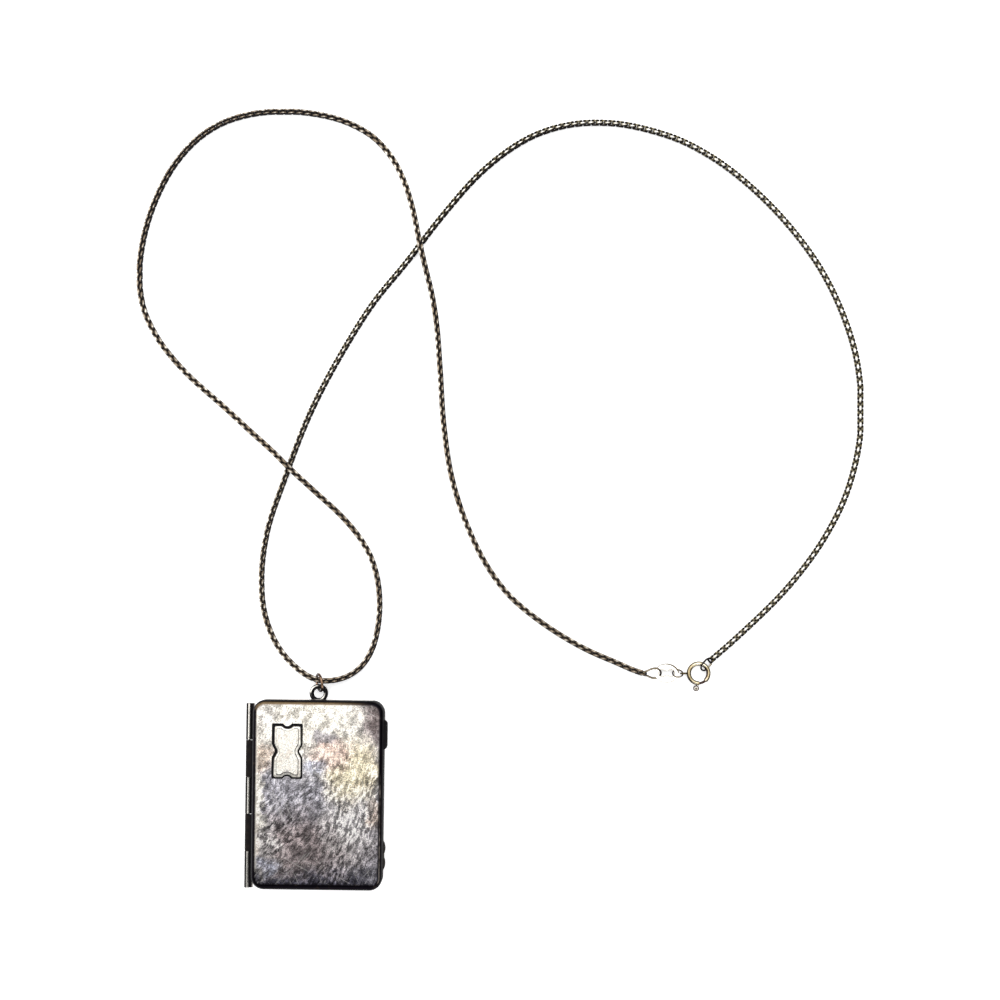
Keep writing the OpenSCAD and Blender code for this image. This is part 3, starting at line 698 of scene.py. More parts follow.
# %% [markdown]
# ## Mesh helpers
# A piece is drawn as points and faces, about the middle of the case or in the scene, and becomes an
# object at the origin with its place in its mesh. Soldered pieces are joined with the Boolean
# modifier, which leaves one closed skin as solder does, instead of solids that poke through each
# other.

# %% Mesh helpers
def mesh_object(name, points, faces, place=Matrix.Identity(4)):
    """An object at the origin whose mesh holds the given points, moved to their place."""
    mesh = bpy.data.meshes.new(name)
    mesh.from_pydata([place @ Vector(p) for p in points], [], faces)
    shaped = bmesh.new()
    shaped.from_mesh(mesh)
    bmesh.ops.recalc_face_normals(shaped, faces=shaped.faces)
    shaped.to_mesh(mesh)
    shaped.free()
    made = bpy.data.objects.new(name, mesh)
    scene.collection.objects.link(made)
    return made


def modified_mesh(made):
    """What an object's modifiers make of it, as a plain mesh. The modifiers are removed."""
    bpy.context.view_layer.update()
    graph = bpy.context.evaluated_depsgraph_get()
    mesh = bpy.data.meshes.new_from_object(made.evaluated_get(graph))
    made.modifiers.clear()
    return mesh


def run_tree(made, tree, values):
    """The plain mesh that a Geometry Nodes tree makes of an object with the given inputs."""
    step = made.modifiers.new(tree.name, "NODES")
    step.node_group = tree
    for item in tree.interface.items_tree:
        if item.item_type == "SOCKET" and item.in_out == "INPUT" and item.name in values:
            step[item.identifier] = values[item.name]
    return modified_mesh(made)


def solder(name, body, joined=(), cut=()):
    """Joins the solids in joined to the body, and cuts the ones in cut away."""
    for operation, tools in (("UNION", joined), ("DIFFERENCE", cut)):
        for tool in tools:
            step = body.modifiers.new(tool.name, "BOOLEAN")
            step.operation, step.solver, step.object = operation, "MANIFOLD", tool
            body.data = modified_mesh(body)
            bpy.data.objects.remove(tool)
    body.name = body.data.name = name
    print(name, "triangles:", sum(len(f.vertices) - 2 for f in body.data.polygons))


def smooth(made, angle):
    """Shades a piece smooth, with crisp edges where its faces meet at more than an angle."""
    made.data.shade_smooth()
    made.data.set_sharp_from_angle(angle=math.radians(angle))


def finish_piece(made, material, body, *nodes, slot):
    """Gives a piece its material and body, and hides the nodes of the frame that it stands for."""
    made.data.materials.clear()
    made.data.materials.append(material)
    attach(made, body)
    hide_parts(*nodes)


# %% [markdown]
# ## Half a case
# Each half is a shallow tray pressed from sheet: flat face, rounded edge, straight wall and round
# corners. A box with a Bevel modifier would come close, but the hammer needs small, even squares to
# press into. So a flat grid is wrapped over the form like paper: the middle stays flat, the margin
# bends down over the edge, and each corner square is turned into a quarter disc. The tray's hollow
# is the same form, smaller by the sheet, and is cut out of the block.

# %% Tray shape
WALL_STEP, HOLLOW_WALL_STEP, HOLLOW_STEP = 0.3 * MM, 0.6 * MM, 2 * MM
HOLLOW_BELOW = 0.5 * MM


def grid_lines(total, margin, coarse, fine):
    """Places of the grid lines over one side: coarse steps in the margins, fine ones between."""
    outer = np.linspace(0, margin, math.ceil(margin / coarse) + 1)
    steps = math.ceil((total - 2 * margin) / fine)
    middle = np.linspace(margin, total - margin, steps + 1)
    return np.concatenate([outer[:-1], middle, total - outer[::-1][1:]]) - total / 2


def tray_point(a, b, width, height, corner, edge, depth):
    """Where the point a, b of the flat sheet lands. The open side of the tray is at z 0."""
    wall = depth - edge
    bend = edge * math.pi / 2
    reach = wall + bend + corner - edge
    straight = np.array([width / 2 - corner, height / 2 - corner])
    past = np.array([abs(a), abs(b)]) - straight
    left = reach - max(past[0], past[1], 0.0)
    angle = min(max((left - wall) / edge, 0.0), math.pi / 2)
    inset = edge * (1 - math.cos(angle)) + max(left - wall - bend, 0.0)
    z = min(left, wall) + edge * math.sin(angle)
    out = corner - inset
    if past[0] > 0 and past[1] > 0:
        lean = math.pi / 4 * min(past) / max(past)
        turn = lean if past[0] >= past[1] else math.pi / 2 - lean
        flat = straight + out * np.array([math.cos(turn), math.sin(turn)])
    else:
        flat = np.where(past > 0, straight + out, [abs(a), abs(b)])
    return math.copysign(flat[0], a), math.copysign(flat[1], b), z


def tray_block(name, place, depth, steps, shrink=0, below=0):
    """A solid block with the tray's outer form, shrunk for its hollow. It reaches below its open side."""
    width, height = CASE_W - 2 * shrink, CASE_H - 2 * shrink
    corner, edge, depth = CORNER_R - shrink, EDGE_R - shrink, depth - shrink
    margin = depth - edge + edge * math.pi / 2
    extra = 2 * (margin - edge)
    across = grid_lines(width + extra, margin, *steps)
    up = grid_lines(height + extra, margin, *steps)
    columns, rows = len(across), len(up)
    points = [tray_point(a, b, width, height, corner, edge, depth) for a in across for b in up]
    faces = [(i * rows + j, (i + 1) * rows + j, (i + 1) * rows + j + 1, i * rows + j + 1)
             for i in range(columns - 1) for j in range(rows - 1)]
    rim = ([i * rows for i in range(columns)] + [(columns - 1) * rows + j for j in range(1, rows)]
           + [i * rows + rows - 1 for i in range(columns - 2, -1, -1)] + list(range(rows - 2, 0, -1)))
    if below:
        start = len(points)
        points += [(points[k][0], points[k][1], -below) for k in rim]
        lower = list(range(start, start + len(rim)))
        faces += [(rim[k - 1], rim[k], lower[k], lower[k - 1]) for k in range(len(rim))]
        rim = lower
    faces.append(tuple(rim))
    return mesh_object(name, points, faces, place)


def half_case(name, depth, open_z, face_step, flip=False):
    """A tray and the solid that its hollow is cut with. Flip turns the open side up."""
    place = case_place @ Matrix.Translation((0, 0, open_z)) @ Matrix.Diagonal((1, 1, -1 if flip else 1, 1))
    tray = tray_block(name, place, depth, (WALL_STEP, face_step))
    hollow = tray_block("hollow", place, depth, (HOLLOW_WALL_STEP, HOLLOW_STEP), SHEET, HOLLOW_BELOW)
    return tray, hollow


# %% [markdown]
# ## Pieces that are soldered to the case
# Barrels, leaves, catches and the cartouche are short prisms and rods, and the bail is a ring. The
# cylinder and torus that Blender offers would need moving and turning as objects. These are drawn
# straight in their place on the case instead, closed, and ready to be joined.

# %% Prisms, rods and rings
ROD_STEPS, RING_STEPS, WIRE_STEPS = 24, 64, 20


def faces_between(low, high, count):
    """Faces between two rings of points, of which the first have the numbers low and high."""
    return [(low + k, low + (k + 1) % count, high + (k + 1) % count, high + k) for k in range(count)]


def prism(name, layers, place=case_place):
    """A solid between outlines that have the same number of points. A layer is (outline, height)."""
    count = len(layers[0][0])
    points = [(x, y, z) for outline, z in layers for x, y in outline]
    faces = [tuple(range(count))[::-1], tuple(range(count * (len(layers) - 1), count * len(layers)))]
    for level in range(len(layers) - 1):
        faces += faces_between(level * count, (level + 1) * count, count)
    return mesh_object(name, points, faces, place)


def circle(radius, count):
    """Points round a circle."""
    turns = [2 * math.pi * k / count for k in range(count)]
    return [(radius * math.cos(turn), radius * math.sin(turn)) for turn in turns]


def rod(name, radius, start, length, ease=0.0):
    """A rod along Y on the case. Ease rounds its ends a little."""
    side, end = circle(radius, ROD_STEPS), circle(radius - ease, ROD_STEPS)
    layers = [(side, ease), (side, length - ease)]
    if ease:
        layers = [(end, 0), *layers, (end, length)]
    along_y = Matrix.Translation(start) @ Matrix.Rotation(-math.pi / 2, 4, "X")
    return prism(name, layers, case_place @ along_y)


def torus(name, ring_r, wire_r, place):
    """A closed ring about Z."""
    points, faces = [], []
    for i in range(RING_STEPS):
        turn = 2 * math.pi * i / RING_STEPS
        points += [((ring_r + x) * math.cos(turn), (ring_r + x) * math.sin(turn), z)
                   for x, z in circle(wire_r, WIRE_STEPS)]
        here, ahead = i * WIRE_STEPS, (i + 1) % RING_STEPS * WIRE_STEPS
        faces += [(here + k, ahead + k, ahead + (k + 1) % WIRE_STEPS, here + (k + 1) % WIRE_STEPS)
                  for k in range(WIRE_STEPS)]
    return mesh_object(name, points, faces, place)


# %% [markdown]
# ## The hinge
# Five barrels share one pin: three belong to the back and two to the cover, and each hangs on a leaf
# that runs to its half of the case. They are drawn from the same pitch, so that they always mesh.

# %% Hinge parts
KNUCKLES = 5
HINGE_LEN = 45.8 * MM
HINGE_START = -HINGE_LEN / 2 - 0.45 * MM
BARREL_R, BORE_R, BARREL_EASE = 0.62 * MM, 0.3 * MM, 0.06 * MM
HINGE_X = -CASE_W / 2 - 1.25 * MM
HINGE_Z = BACK_D + SEAM / 2
KNUCKLE_GAP = 0.1 * MM
LEAF_T = 0.5 * MM
OVERLAP = 0.2 * MM


def knuckle_parts(first, upper):
    """The barrels first, first + 2 and so on, and their leaves."""
    parts = []
    pitch = HINGE_LEN / KNUCKLES
    length = pitch - KNUCKLE_GAP
    right = -CASE_W / 2 + OVERLAP
    low = HINGE_Z + (SEAM / 2 if upper else -SEAM / 2 - LEAF_T)
    for k in range(first, KNUCKLES, 2):
        start = HINGE_START + k * pitch + KNUCKLE_GAP / 2
        parts.append(rod("barrel", BARREL_R, (HINGE_X, start, HINGE_Z), length, BARREL_EASE))
        outline = [(HINGE_X, start), (right, start), (right, start + length), (HINGE_X, start + length)]
        parts.append(prism("leaf", [(outline, low), (outline, low + LEAF_T)]))
    return parts


def hinge_bore():
    """The hole for the pin, the whole length of the hinge."""
    return rod("bore", BORE_R, (HINGE_X, HINGE_START - OVERLAP, HINGE_Z), HINGE_LEN + 2 * OVERLAP)


print("barrels at every", round(HINGE_LEN / KNUCKLES / MM, 2), "mm")

# %% [markdown]
# ## The cartouche
# A small plate for an engraving stands on the cover. Its outline is a rectangle with a round notch in
# each end and a vee in each side, and its border slopes down to a deep line that is black with dirt.
# The outline is drawn for a quarter and mirrored. `grown` moves every side out or in by the same
# amount, which gives the groove, the border and the field, and `eased` softens the corners, because
# a stamped plate has none that are sharp.

# %% Cartouche outline
PLATE_W, PLATE_H = 6.6 * MM, 12.6 * MM
FIELD_RISE, BORDER_RISE, RIM_RISE = 0.3 * MM, 0.14 * MM, 0.08 * MM
BORDER_W, FIELD_SLOPE = 0.5 * MM, 0.2 * MM
GROOVE_W, GROOVE_D = 0.52 * MM, 0.3 * MM
GROOVE_SHIFT = (-0.08 * MM, 0.07 * MM)
END_NOTCH_W, END_NOTCH = 2.6 * MM, 0.65 * MM
SIDE_NOTCH_W, SIDE_NOTCH = 3.5 * MM, 0.8 * MM
NOTCH_FLAT, NOTCH_STEPS = 0.6 * MM, 5
SOFT_CORNER, SOFT_STEPS = 0.42 * MM, 4
REAL_CORNER = math.radians(24)


def plate_outline():
    """Points round the plate, anticlockwise."""
    right, top = PLATE_W / 2, PLATE_H / 2
    notch_r = (END_NOTCH_W ** 2 / 4 + END_NOTCH ** 2) / (2 * END_NOTCH)
    half = math.asin(END_NOTCH_W / 2 / notch_r)
    quarter = [(right - SIDE_NOTCH, NOTCH_FLAT / 2), (right, SIDE_NOTCH_W / 2), (right, top)]
    for k in range(NOTCH_STEPS):
        turn = half * (1 - k / NOTCH_STEPS)
        quarter.append((notch_r * math.sin(turn), top - END_NOTCH + notch_r * (1 - math.cos(turn))))
    bottom = [(0.0, top - END_NOTCH)]
    upper = quarter + bottom + [(-x, y) for x, y in reversed(quarter)]
    return upper + [(-x, -y) for x, y in upper]


def corners(outline):
    """Each point of an outline with its two neighbours."""
    count = len(outline)
    return [[Vector(outline[(k + step) % count]) for step in (-1, 0, 1)] for k in range(count)]


def grown(outline, out):
    """The outline with every side moved out by the same distance."""
    moved = []
    for before, here, after in corners(outline):
        first, second = (here - before).normalized(), (after - here).normalized()
        normals = Vector((first.y, -first.x)) + Vector((second.y, -second.x))
        mitre = 2 / normals.length_squared
        moved.append(tuple(here + normals * mitre * out))
    return moved


def eased(outline):
    """The outline with each real corner turned into a short curve."""
    soft = []
    for before, here, after in corners(outline):
        if (here - before).angle(after - here) < REAL_CORNER:
            soft.append(tuple(here))
            continue
        reach = min(SOFT_CORNER, 0.45 * (here - before).length, 0.45 * (after - here).length)
        start, end = here + (before - here).normalized() * reach, here + (after - here).normalized() * reach
        for t in np.linspace(0, 1, SOFT_STEPS + 1):
            soft.append(tuple(start * (1 - t) ** 2 + here * 2 * t * (1 - t) + end * t ** 2))
    return soft


def on_plate(out, shift=(0.0, 0.0)):
    """The plate's outline, grown by out and eased, in its place on the cover."""
    return [(PLATE_X + x + shift[0], PLATE_Y + y + shift[1]) for x, y in eased(grown(plate, out))]


plate = plate_outline()
print("cartouche points:", len(plate))

# %% [markdown]
# ## Thumb catches
# The cover has a ledge for the thumb high on its right side, and the back has a worn one low down,
# which has been bent into two bumps. Seen from above each is a plain outline of arcs, so each is
# drawn as an outline and raised, with its upper and lower edges drawn in a little.

# %% Catches
CATCH_LEN, CATCH_Y, CATCH_T = 7.4 * MM, 15.1 * MM, 1.5 * MM
COVER_CATCH_OUT, BACK_CATCH_OUT = 0.85 * MM, 0.55 * MM
CATCH_END_R, CATCH_EASE = 1.2 * MM, 0.15 * MM
LENS_STEPS, LEDGE_STEPS = 16, 8
WALL_X = CASE_W / 2


def lens(y, length, out):
    """Outline of a lobe that stands out of the right-hand wall."""
    radius = (length ** 2 / 4 + out ** 2) / (2 * out)
    half = math.asin(length / 2 / radius)
    turns = [half * (2 * k / LENS_STEPS - 1) for k in range(LENS_STEPS + 1)]
    arc = [(WALL_X + out - radius * (1 - math.cos(t)), y + radius * math.sin(t)) for t in turns]
    return arc + [(WALL_X - OVERLAP, y + length / 2), (WALL_X - OVERLAP, y - length / 2)]


def ledge(y, length, out):
    """Outline of a ledge with a straight front and round ends."""
    reach = out - CATCH_END_R
    rise = math.sqrt(CATCH_END_R ** 2 - reach ** 2)
    half = math.atan2(rise, -reach)
    turns = [half * k / LEDGE_STEPS for k in range(LEDGE_STEPS + 1)]
    arc = [(WALL_X + reach + CATCH_END_R * math.cos(turn), length / 2 - rise + CATCH_END_R * math.sin(turn))
           for turn in turns]
    lower = [(x, -v) for x, v in reversed(arc)]
    sides = lower + arc + [(WALL_X - OVERLAP, length / 2), (WALL_X - OVERLAP, -length / 2)]
    return [(x, y + v) for x, v in sides]


def catch(name, outline, low, thickness):
    """A catch with softened upper and lower edges."""
    inner = grown(outline, -CATCH_EASE)
    return prism(name, [(inner, low), (outline, low + CATCH_EASE), (outline, low + thickness - CATCH_EASE),
                        (inner, low + thickness)])


# %% [markdown]
# ## Pressing the hammer marks
# The joined cover is closed metal. A Geometry Nodes tree lowers the points of its face by the hammer
# recipe, fading out at the rounded edge. Only points that lie near the face's height move, so the
# inside of the tray stays flat. A Displace modifier could do this with an image, but the nodes need
# no image and take the depth and the height of the face as named inputs.

# %% Hammer tree
hammer, source, result = new_group(
    "hammer_marks", "GeometryNodeTree",
    [("Geometry", "NodeSocketGeometry", None), ("Depth", "NodeSocketFloat", 0.06 * MM),
     ("Face height", "NodeSocketFloat", CASE_T), ("Direction", "NodeSocketFloat", -1.0),
     ("Material", "NodeSocketMaterial", None)],
    [("Geometry", "NodeSocketGeometry")])


def realized(tree, geometry, material):
    """The end of a tree: real geometry in one material."""
    real = add(tree, "GeometryNodeRealizeInstances", None, {0: geometry}).outputs[0]
    return add(tree, "GeometryNodeSetMaterial", None, {0: real, "Material": material}).outputs[0]


position = add(hammer, "GeometryNodeInputPosition").outputs[0]
case_mm = on_case(hammer, position)
height, depth = hammer_height(hammer, case_mm)
sunk = product(hammer, maths(hammer, "SUBTRACT", 1.0, height), depth)
fade = ramp(hammer, edge_distance(hammer, case_mm), 0.9, 2.2)
off_face = maths(hammer, "SUBTRACT", xyz(hammer, position)[2], source.outputs["Face height"])
near_face = ramp(hammer, maths(hammer, "ABSOLUTE", off_face), 0.07 * MM, 0.03 * MM)
pressed = product(hammer, sunk, fade, near_face, source.outputs["Depth"], source.outputs["Direction"])
offset = add(hammer, "ShaderNodeCombineXYZ", None, {"Z": pressed}).outputs[0]
moved = add(hammer, "GeometryNodeSetPosition", None,
            {"Geometry": source.outputs["Geometry"], "Offset": offset}).outputs[0]
hammer.links.new(realized(hammer, moved, source.outputs["Material"]), result.inputs[0])
print("hammer nodes:", len(hammer.nodes))

# %% [markdown]
# ## The cover
# The tray is a block with its hollow cut out. The groove is cut next, and the cartouche, the hinge
# barrels and the ledge are joined on before the hammer marks are pressed in.

# %% Build the cover
COVER_STEP = 0.16 * MM
COVER_DENTS = 0.009 * MM
COVER_CREASE = 24

cover, hollow = half_case("cover", FRONT_D, BACK_D + SEAM, COVER_STEP)
sunk_line = on_plate(GROOVE_W, GROOVE_SHIFT)
groove = prism("groove", [(sunk_line, CASE_T - GROOVE_D), (sunk_line, CASE_T + GROOVE_D)])
solder("front_cover_hammered", cover, cut=[hollow, groove])
field = prism("cartouche", [
    (on_plate(0), CASE_T - 1.5 * GROOVE_D), (on_plate(0), CASE_T + RIM_RISE),
    (on_plate(-BORDER_W), CASE_T + BORDER_RISE), (on_plate(-BORDER_W - FIELD_SLOPE), CASE_T + FIELD_RISE)])
thumb = catch("ledge", ledge(CATCH_Y, CATCH_LEN, COVER_CATCH_OUT), BACK_D + 2 * SEAM, CATCH_T)
solder("front_cover_hammered", cover, joined=[field, thumb, *knuckle_parts(1, True)], cut=[hinge_bore()])
cover.data = run_tree(cover, hammer, {"Depth": COVER_DENTS, "Face height": CASE_T, "Direction": -1.0,
                                      "Material": cover_silver})
smooth(cover, COVER_CREASE)
finish_piece(cover, cover_silver, "cover", "front_cover", slot="cover_silver")

# %% [markdown]
# ## The back
# The back is the same tray turned over, with a lip that the cover closes round, the other three
# barrels, the worn catch and the bail, a thick loop on a flared foot of solder. The tree of the
# hammer marks is run on it too, with its face at the table's height and the dents pressed up.

# %% Back fittings
BACK_STEP = 0.3 * MM
BACK_DENTS = 0.035 * MM
BAIL_R, BAIL_WIRE_R = 1.75 * MM, 0.575 * MM
BAIL_X, BAIL_OUT, BAIL_Z = -0.3 * MM, 1.6 * MM, 2.2 * MM
FOOT_W, NECK_W, FOOT_BASE, FOOT_FLARE = 3.8 * MM, 2.2 * MM, 0.1 * MM, 0.3 * MM
LIP_RISE, LIP_T, LIP_CLEAR = 0.6 * MM, 0.35 * MM, 0.12 * MM
LIP_STEPS = 6
BACK_CREASE = 40
# Keeps two solids that are joined from sharing a flat, which a Boolean finds hard
TINY = 0.02 * MM


def lip_line(radius):
    """A line along the top, right and bottom walls, at a distance from the corner axes."""
    run_x, run_y = CASE_W / 2 - CORNER_R, CASE_H / 2 - CORNER_R
    turns = [math.pi / 2 * k / LIP_STEPS for k in range(LIP_STEPS + 1)]
    upper = [(run_x + radius * math.cos(t), run_y + radius * math.sin(t)) for t in turns]
    lower = [(x, -y) for x, y in reversed(upper)]
    return [(-run_x, -run_y - radius), *lower, *upper, (-run_x, run_y + radius)]


def lips():
    """The closing lip, and the thicker seat that joins it to the wall."""
    outer = CORNER_R - SHEET - LIP_CLEAR
    inner_line = lip_line(outer - LIP_T)[::-1]
    lip = lip_line(outer) + inner_line
    seat = lip_line(CORNER_R - SHEET + OVERLAP) + inner_line
    return [prism("lip_seat", [(seat, BACK_D - LIP_RISE), (seat, BACK_D - SEAM)]),
            prism("lip", [(lip, BACK_D - LIP_RISE + TINY), (lip, BACK_D + LIP_RISE)])]


def bail_foot():
    """The flared foot between the case and the bail."""
    top = CASE_H / 2
    reach = BAIL_OUT - BAIL_R + BAIL_WIRE_R / 2
    half_t = BAIL_WIRE_R * 0.9
    right = [(FOOT_W / 2, -OVERLAP), (FOOT_W / 2, FOOT_BASE), (NECK_W / 2 + FOOT_FLARE, reach / 2),
             (NECK_W / 2, reach)]
    outline = [(BAIL_X + x, top + y) for x, y in right]
    outline += [(BAIL_X - x, top + y) for x, y in reversed(right)]
    return prism("foot", [(outline, BAIL_Z - half_t), (outline, BAIL_Z + half_t)])


def worn_catch():
    """The bent catch: a low lobe with two higher ones on it."""
    low = BACK_D - SEAM - CATCH_T
    bumps = [catch("bump", lens(-CATCH_Y, CATCH_LEN, BACK_CATCH_OUT / 2), low, CATCH_T)]
    for side in (-1, 1):
        outline = lens(-CATCH_Y + side * CATCH_LEN / 4, CATCH_LEN / 2, BACK_CATCH_OUT)
        bumps.append(catch("bump", outline, low + TINY, CATCH_T - 2.5 * TINY))
    return bumps


# %% Build the back
back, hollow = half_case("back", BACK_D, BACK_D, BACK_STEP, flip=True)
solder("back_case_dressed", back, cut=[hollow])
bail_place = case_place @ Matrix.Translation((BAIL_X, CASE_H / 2 + BAIL_OUT, BAIL_Z))
bail = torus("bail", BAIL_R, BAIL_WIRE_R, bail_place)
fittings = [*lips(), bail_foot(), bail, *worn_catch(), *knuckle_parts(0, False)]
solder("back_case_dressed", back, joined=fittings, cut=[hinge_bore()])
back.data = run_tree(back, hammer, {"Depth": BACK_DENTS, "Face height": 0.0, "Direction": 1.0,
                                    "Material": case_silver})
smooth(back, BACK_CREASE)
finish_piece(back, case_silver, "necklace", "back_case", slot="case_silver")

# %% [markdown]
# ## One link of a box chain
# A box chain is made of square bands: each is a flat strip bent into a box with rounded corners, and
# the next one sits across it at a right angle. The link is drawn once, with 10 stations round the
# box and 6 points round the strip, because it will be repeated more than 700 times. Each point is
# given its `recess`, the value that the chain's finish reads.

# %% Link mesh
PITCH = 1.035 * MM
STRIP_T, STRIP_W = 0.46 * MM, 0.62 * MM
LINK_L = PITCH + 2 * STRIP_T + 0.01 * MM
LINK_W = 1.56 * MM
BEND_R, INNER_R = 0.2 * MM, 0.05 * MM
CHAMFER, LINK_CREASE = 0.11 * MM, 50
# How dark each part of a link is painted, as dirt and as shade in the gaps: its end faces, then its bends,
# then the middle of its long sides
END_RECESS = 1.0
BEND_FLAT, BEND_EDGE, BEND_INSIDE = 0.28, 1.0, 0.68
SIDE_FLAT, SIDE_EDGE, SIDE_INSIDE = 0.0, 0.12, 0.45


def link_stations():
    """Places round the band in the XZ plane: the centre of the outer bend, of the inner one, and out."""
    stations = []
    for quarter, (sx, sz) in enumerate(((1, 1), (-1, 1), (-1, -1), (1, -1))):
        centre = Vector((sx * (LINK_L / 2 - BEND_R), 0, sz * (LINK_W / 2 - BEND_R)))
        inner = Vector((sx * (LINK_L / 2 - STRIP_T - INNER_R), 0, sz * (LINK_W / 2 - STRIP_T - INNER_R)))
        for step in (0, 1):
            turn = math.pi / 2 * (quarter + step)
            stations.append((centre, inner, Vector((math.cos(turn), 0, math.sin(turn)))))
        if sx == sz:
            middle = Vector((0, 0, 1))
            stations.append((middle * centre.z, middle * inner.z, middle * sz))
    return stations


def link_mesh():
    """The band, with the chain along X."""
    half = STRIP_W / 2
    profile = ((BEND_R - CHAMFER, half), (BEND_R, half - CHAMFER), (BEND_R, CHAMFER - half),
               (BEND_R - CHAMFER, -half))
    sides = 2 + len(profile)
    stations = link_stations()
    points, recess = [], []
    for centre, inner, out in stations:
        at_bend, at_end = bool(centre.x), abs(out.x) > 0.5
        flat, edge, inside = ((BEND_FLAT, BEND_EDGE, BEND_INSIDE) if at_bend
                              else (SIDE_FLAT, SIDE_EDGE, SIDE_INSIDE))
        flat = END_RECESS if at_end else flat
        points += [inner + out * INNER_R + Vector((0, side, 0)) for side in (-half, half)]
        points += [centre + out * reach + Vector((0, side, 0)) for reach, side in profile]
        recess += [inside, inside, edge, flat, flat, edge]
    faces = []
    for i in range(len(stations)):
        faces += faces_between(i * sides, (i + 1) % len(stations) * sides, sides)
    link = mesh_object("box_link", points, faces)
    link.data.attributes.new("recess", "FLOAT", "POINT").data.foreach_set("value", recess)
    smooth(link, LINK_CREASE)
    return link


link = link_mesh()
print("faces of a link:", len(link.data.polygons))

# %% [markdown]
# ## The chain's route
# The points are the same as the frame's, in order from the tag to the spring ring. They were given
# one by one, so a curve straight through them would wobble. It is drawn as a spline first and then
# relaxed a little, as a real chain relaxes under its own weight.

# %% Route
ROUTE = [
    (35, -43.5, 1.1), (29, -41, 0.8), (22, -38, 0.75), (16.5, -35, 0.75), (9, -30, 0.75),
    (2.5, -24.5, 0.75), (-3.5, -16.5, 0.75), (-7.5, -8.5, 0.75), (-12, 5, 0.75), (-14, 18, 0.75),
    (-15, 33, 0.75), (-16, 45, 1), (-17, 51, 1.5), (-18.5, 57, 2.1), (-20, 63.5, 2.5),
    (-21.5, 71, 2.1), (-23, 76.5, 1.4), (-27, 85, 0.8), (-31.5, 90, 0.75), (-37.5, 93.5, 0.75),
    (-47, 96, 0.75), (-54.5, 96.5, 0.75), (-63.5, 95.5, 0.75), (-69.5, 93.5, 0.75), (-75, 90, 0.75),
    (-81, 83.5, 0.75), (-85, 76.5, 0.75), (-89, 64.5, 0.75), (-90, 55.5, 0.75), (-89, 47.5, 0.75),
    (-85.5, 40, 0.75), (-80, 33, 0.75), (-68, 22, 0.8), (-61.5, 16, 1.4), (-57, 12, 2.1),
    (-53, 8, 2.5), (-46, 1.5, 1.8), (-40, -4, 1), (-36, -8.5, 0.75), (-32.5, -14, 0.75),
    (-30.5, -20.5, 0.75), (-30, -26.5, 0.75), (-30.5, -32.5, 0.75), (-32, -38, 0.8),
    (-34.5, -42, 1.1), (-38, -44.5, 1.5), (-42, -45.5, 2.1), (-44.5, -45.5, 2.3),
    (-47.5, -44.5, 2.1), (-51, -42, 1.5), (-54, -39, 1), (-57, -34, 0.75), (-59, -27.5, 0.75),
    (-59.5, -20.5, 0.75), (-58, -8, 0.75), (-54, 4, 0.75), (-47, 22, 0.75), (-39, 37, 0.75),
    (-31, 49.5, 0.75), (-24, 58, 0.75), (-13.5, 71.5, 0.75), (-5, 81, 0.75), (1, 86, 0.75),
    (8.5, 90.5, 0.75), (16.5, 93, 0.75), (28.5, 93.5, 0.75), (38.5, 91.5, 0.75),
    (44.5, 89.5, 0.75), (53, 85, 0.75), (65.5, 75, 0.75), (72.5, 67.5, 0.75), (79.5, 58, 0.75),
    (85.5, 46, 0.75), (89, 34.5, 0.75), (90, 26.5, 0.75), (90, 17, 0.75), (88.5, 8, 0.75),
    (86, 0, 0.75), (81.5, -9, 0.75), (72, -22, 0.75), (61.5, -32.5, 0.9), (53, -40, 1.1),
]
# The point in the jump ring, where the two chain pieces meet
JOIN = 47
# Where the last link at each end hooks into its ring
TAG_HOOK = (35.62, -43.65, 1.2)
CLASP_HOOK = (52.75, -40.2, 1.15)
STEP = 0.5
RELAX_PASSES = 18
# Raises the links clear of the table, and keeps the widest bends within the frame's box
LIFT = 0.075
REACH, REACH_UP = 89.9, 96.4


def spline_through(points):
    """Dense points on a smooth curve through the given ones."""
    points = np.array(points, float)
    spans = np.linalg.norm(np.diff(points, axis=0), axis=1)
    slopes = np.diff(points, axis=0) / spans[:, None]
    share = (spans[1:] / (spans[:-1] + spans[1:]))[:, None]
    inner = slopes[:-1] * share + slopes[1:] * (1 - share)
    tangents = np.vstack([slopes[:1], inner, slopes[-1:]])
    dense = []
    for k, span in enumerate(spans):
        for t in np.arange(0, 1, STEP / span):
            leaving = (2 * t ** 3 - 3 * t ** 2 + 1) * points[k]
            leaving += (t ** 3 - 2 * t ** 2 + t) * span * tangents[k]
            arriving = (3 * t ** 2 - 2 * t ** 3) * points[k + 1]
            arriving += (t ** 3 - t ** 2) * span * tangents[k + 1]
            dense.append(leaving + arriving)
    return np.array(dense + [points[-1]])


def relaxed(points):
    """The same points after each has moved towards its neighbours, with the ends held."""
    for _ in range(RELAX_PASSES):
        points[1:-1] = (points[:-2] + 2 * points[1:-1] + points[2:]) / 4
    points[1:-1, 2] += LIFT
    points[:, 0] = np.clip(points[:, 0], -REACH, REACH)
    points[:, 1] = np.minimum(points[:, 1], REACH_UP)
    return points


centre_line = relaxed(spline_through([TAG_HOOK, *ROUTE, CLASP_HOOK])) * MM
spans = np.linalg.norm(np.diff(centre_line, axis=0), axis=1)
chain_length = float(spans.sum())
link_count = round(chain_length / PITCH) + 1
to_join = np.linalg.norm(centre_line - np.array(ROUTE[JOIN]) * MM, axis=1).argmin()
join_link = round(float(spans[:to_join].sum()) / chain_length * (link_count - 1))
print("chain in mm:", round(chain_length / MM, 1), "links:", link_count, "join at link", join_link)

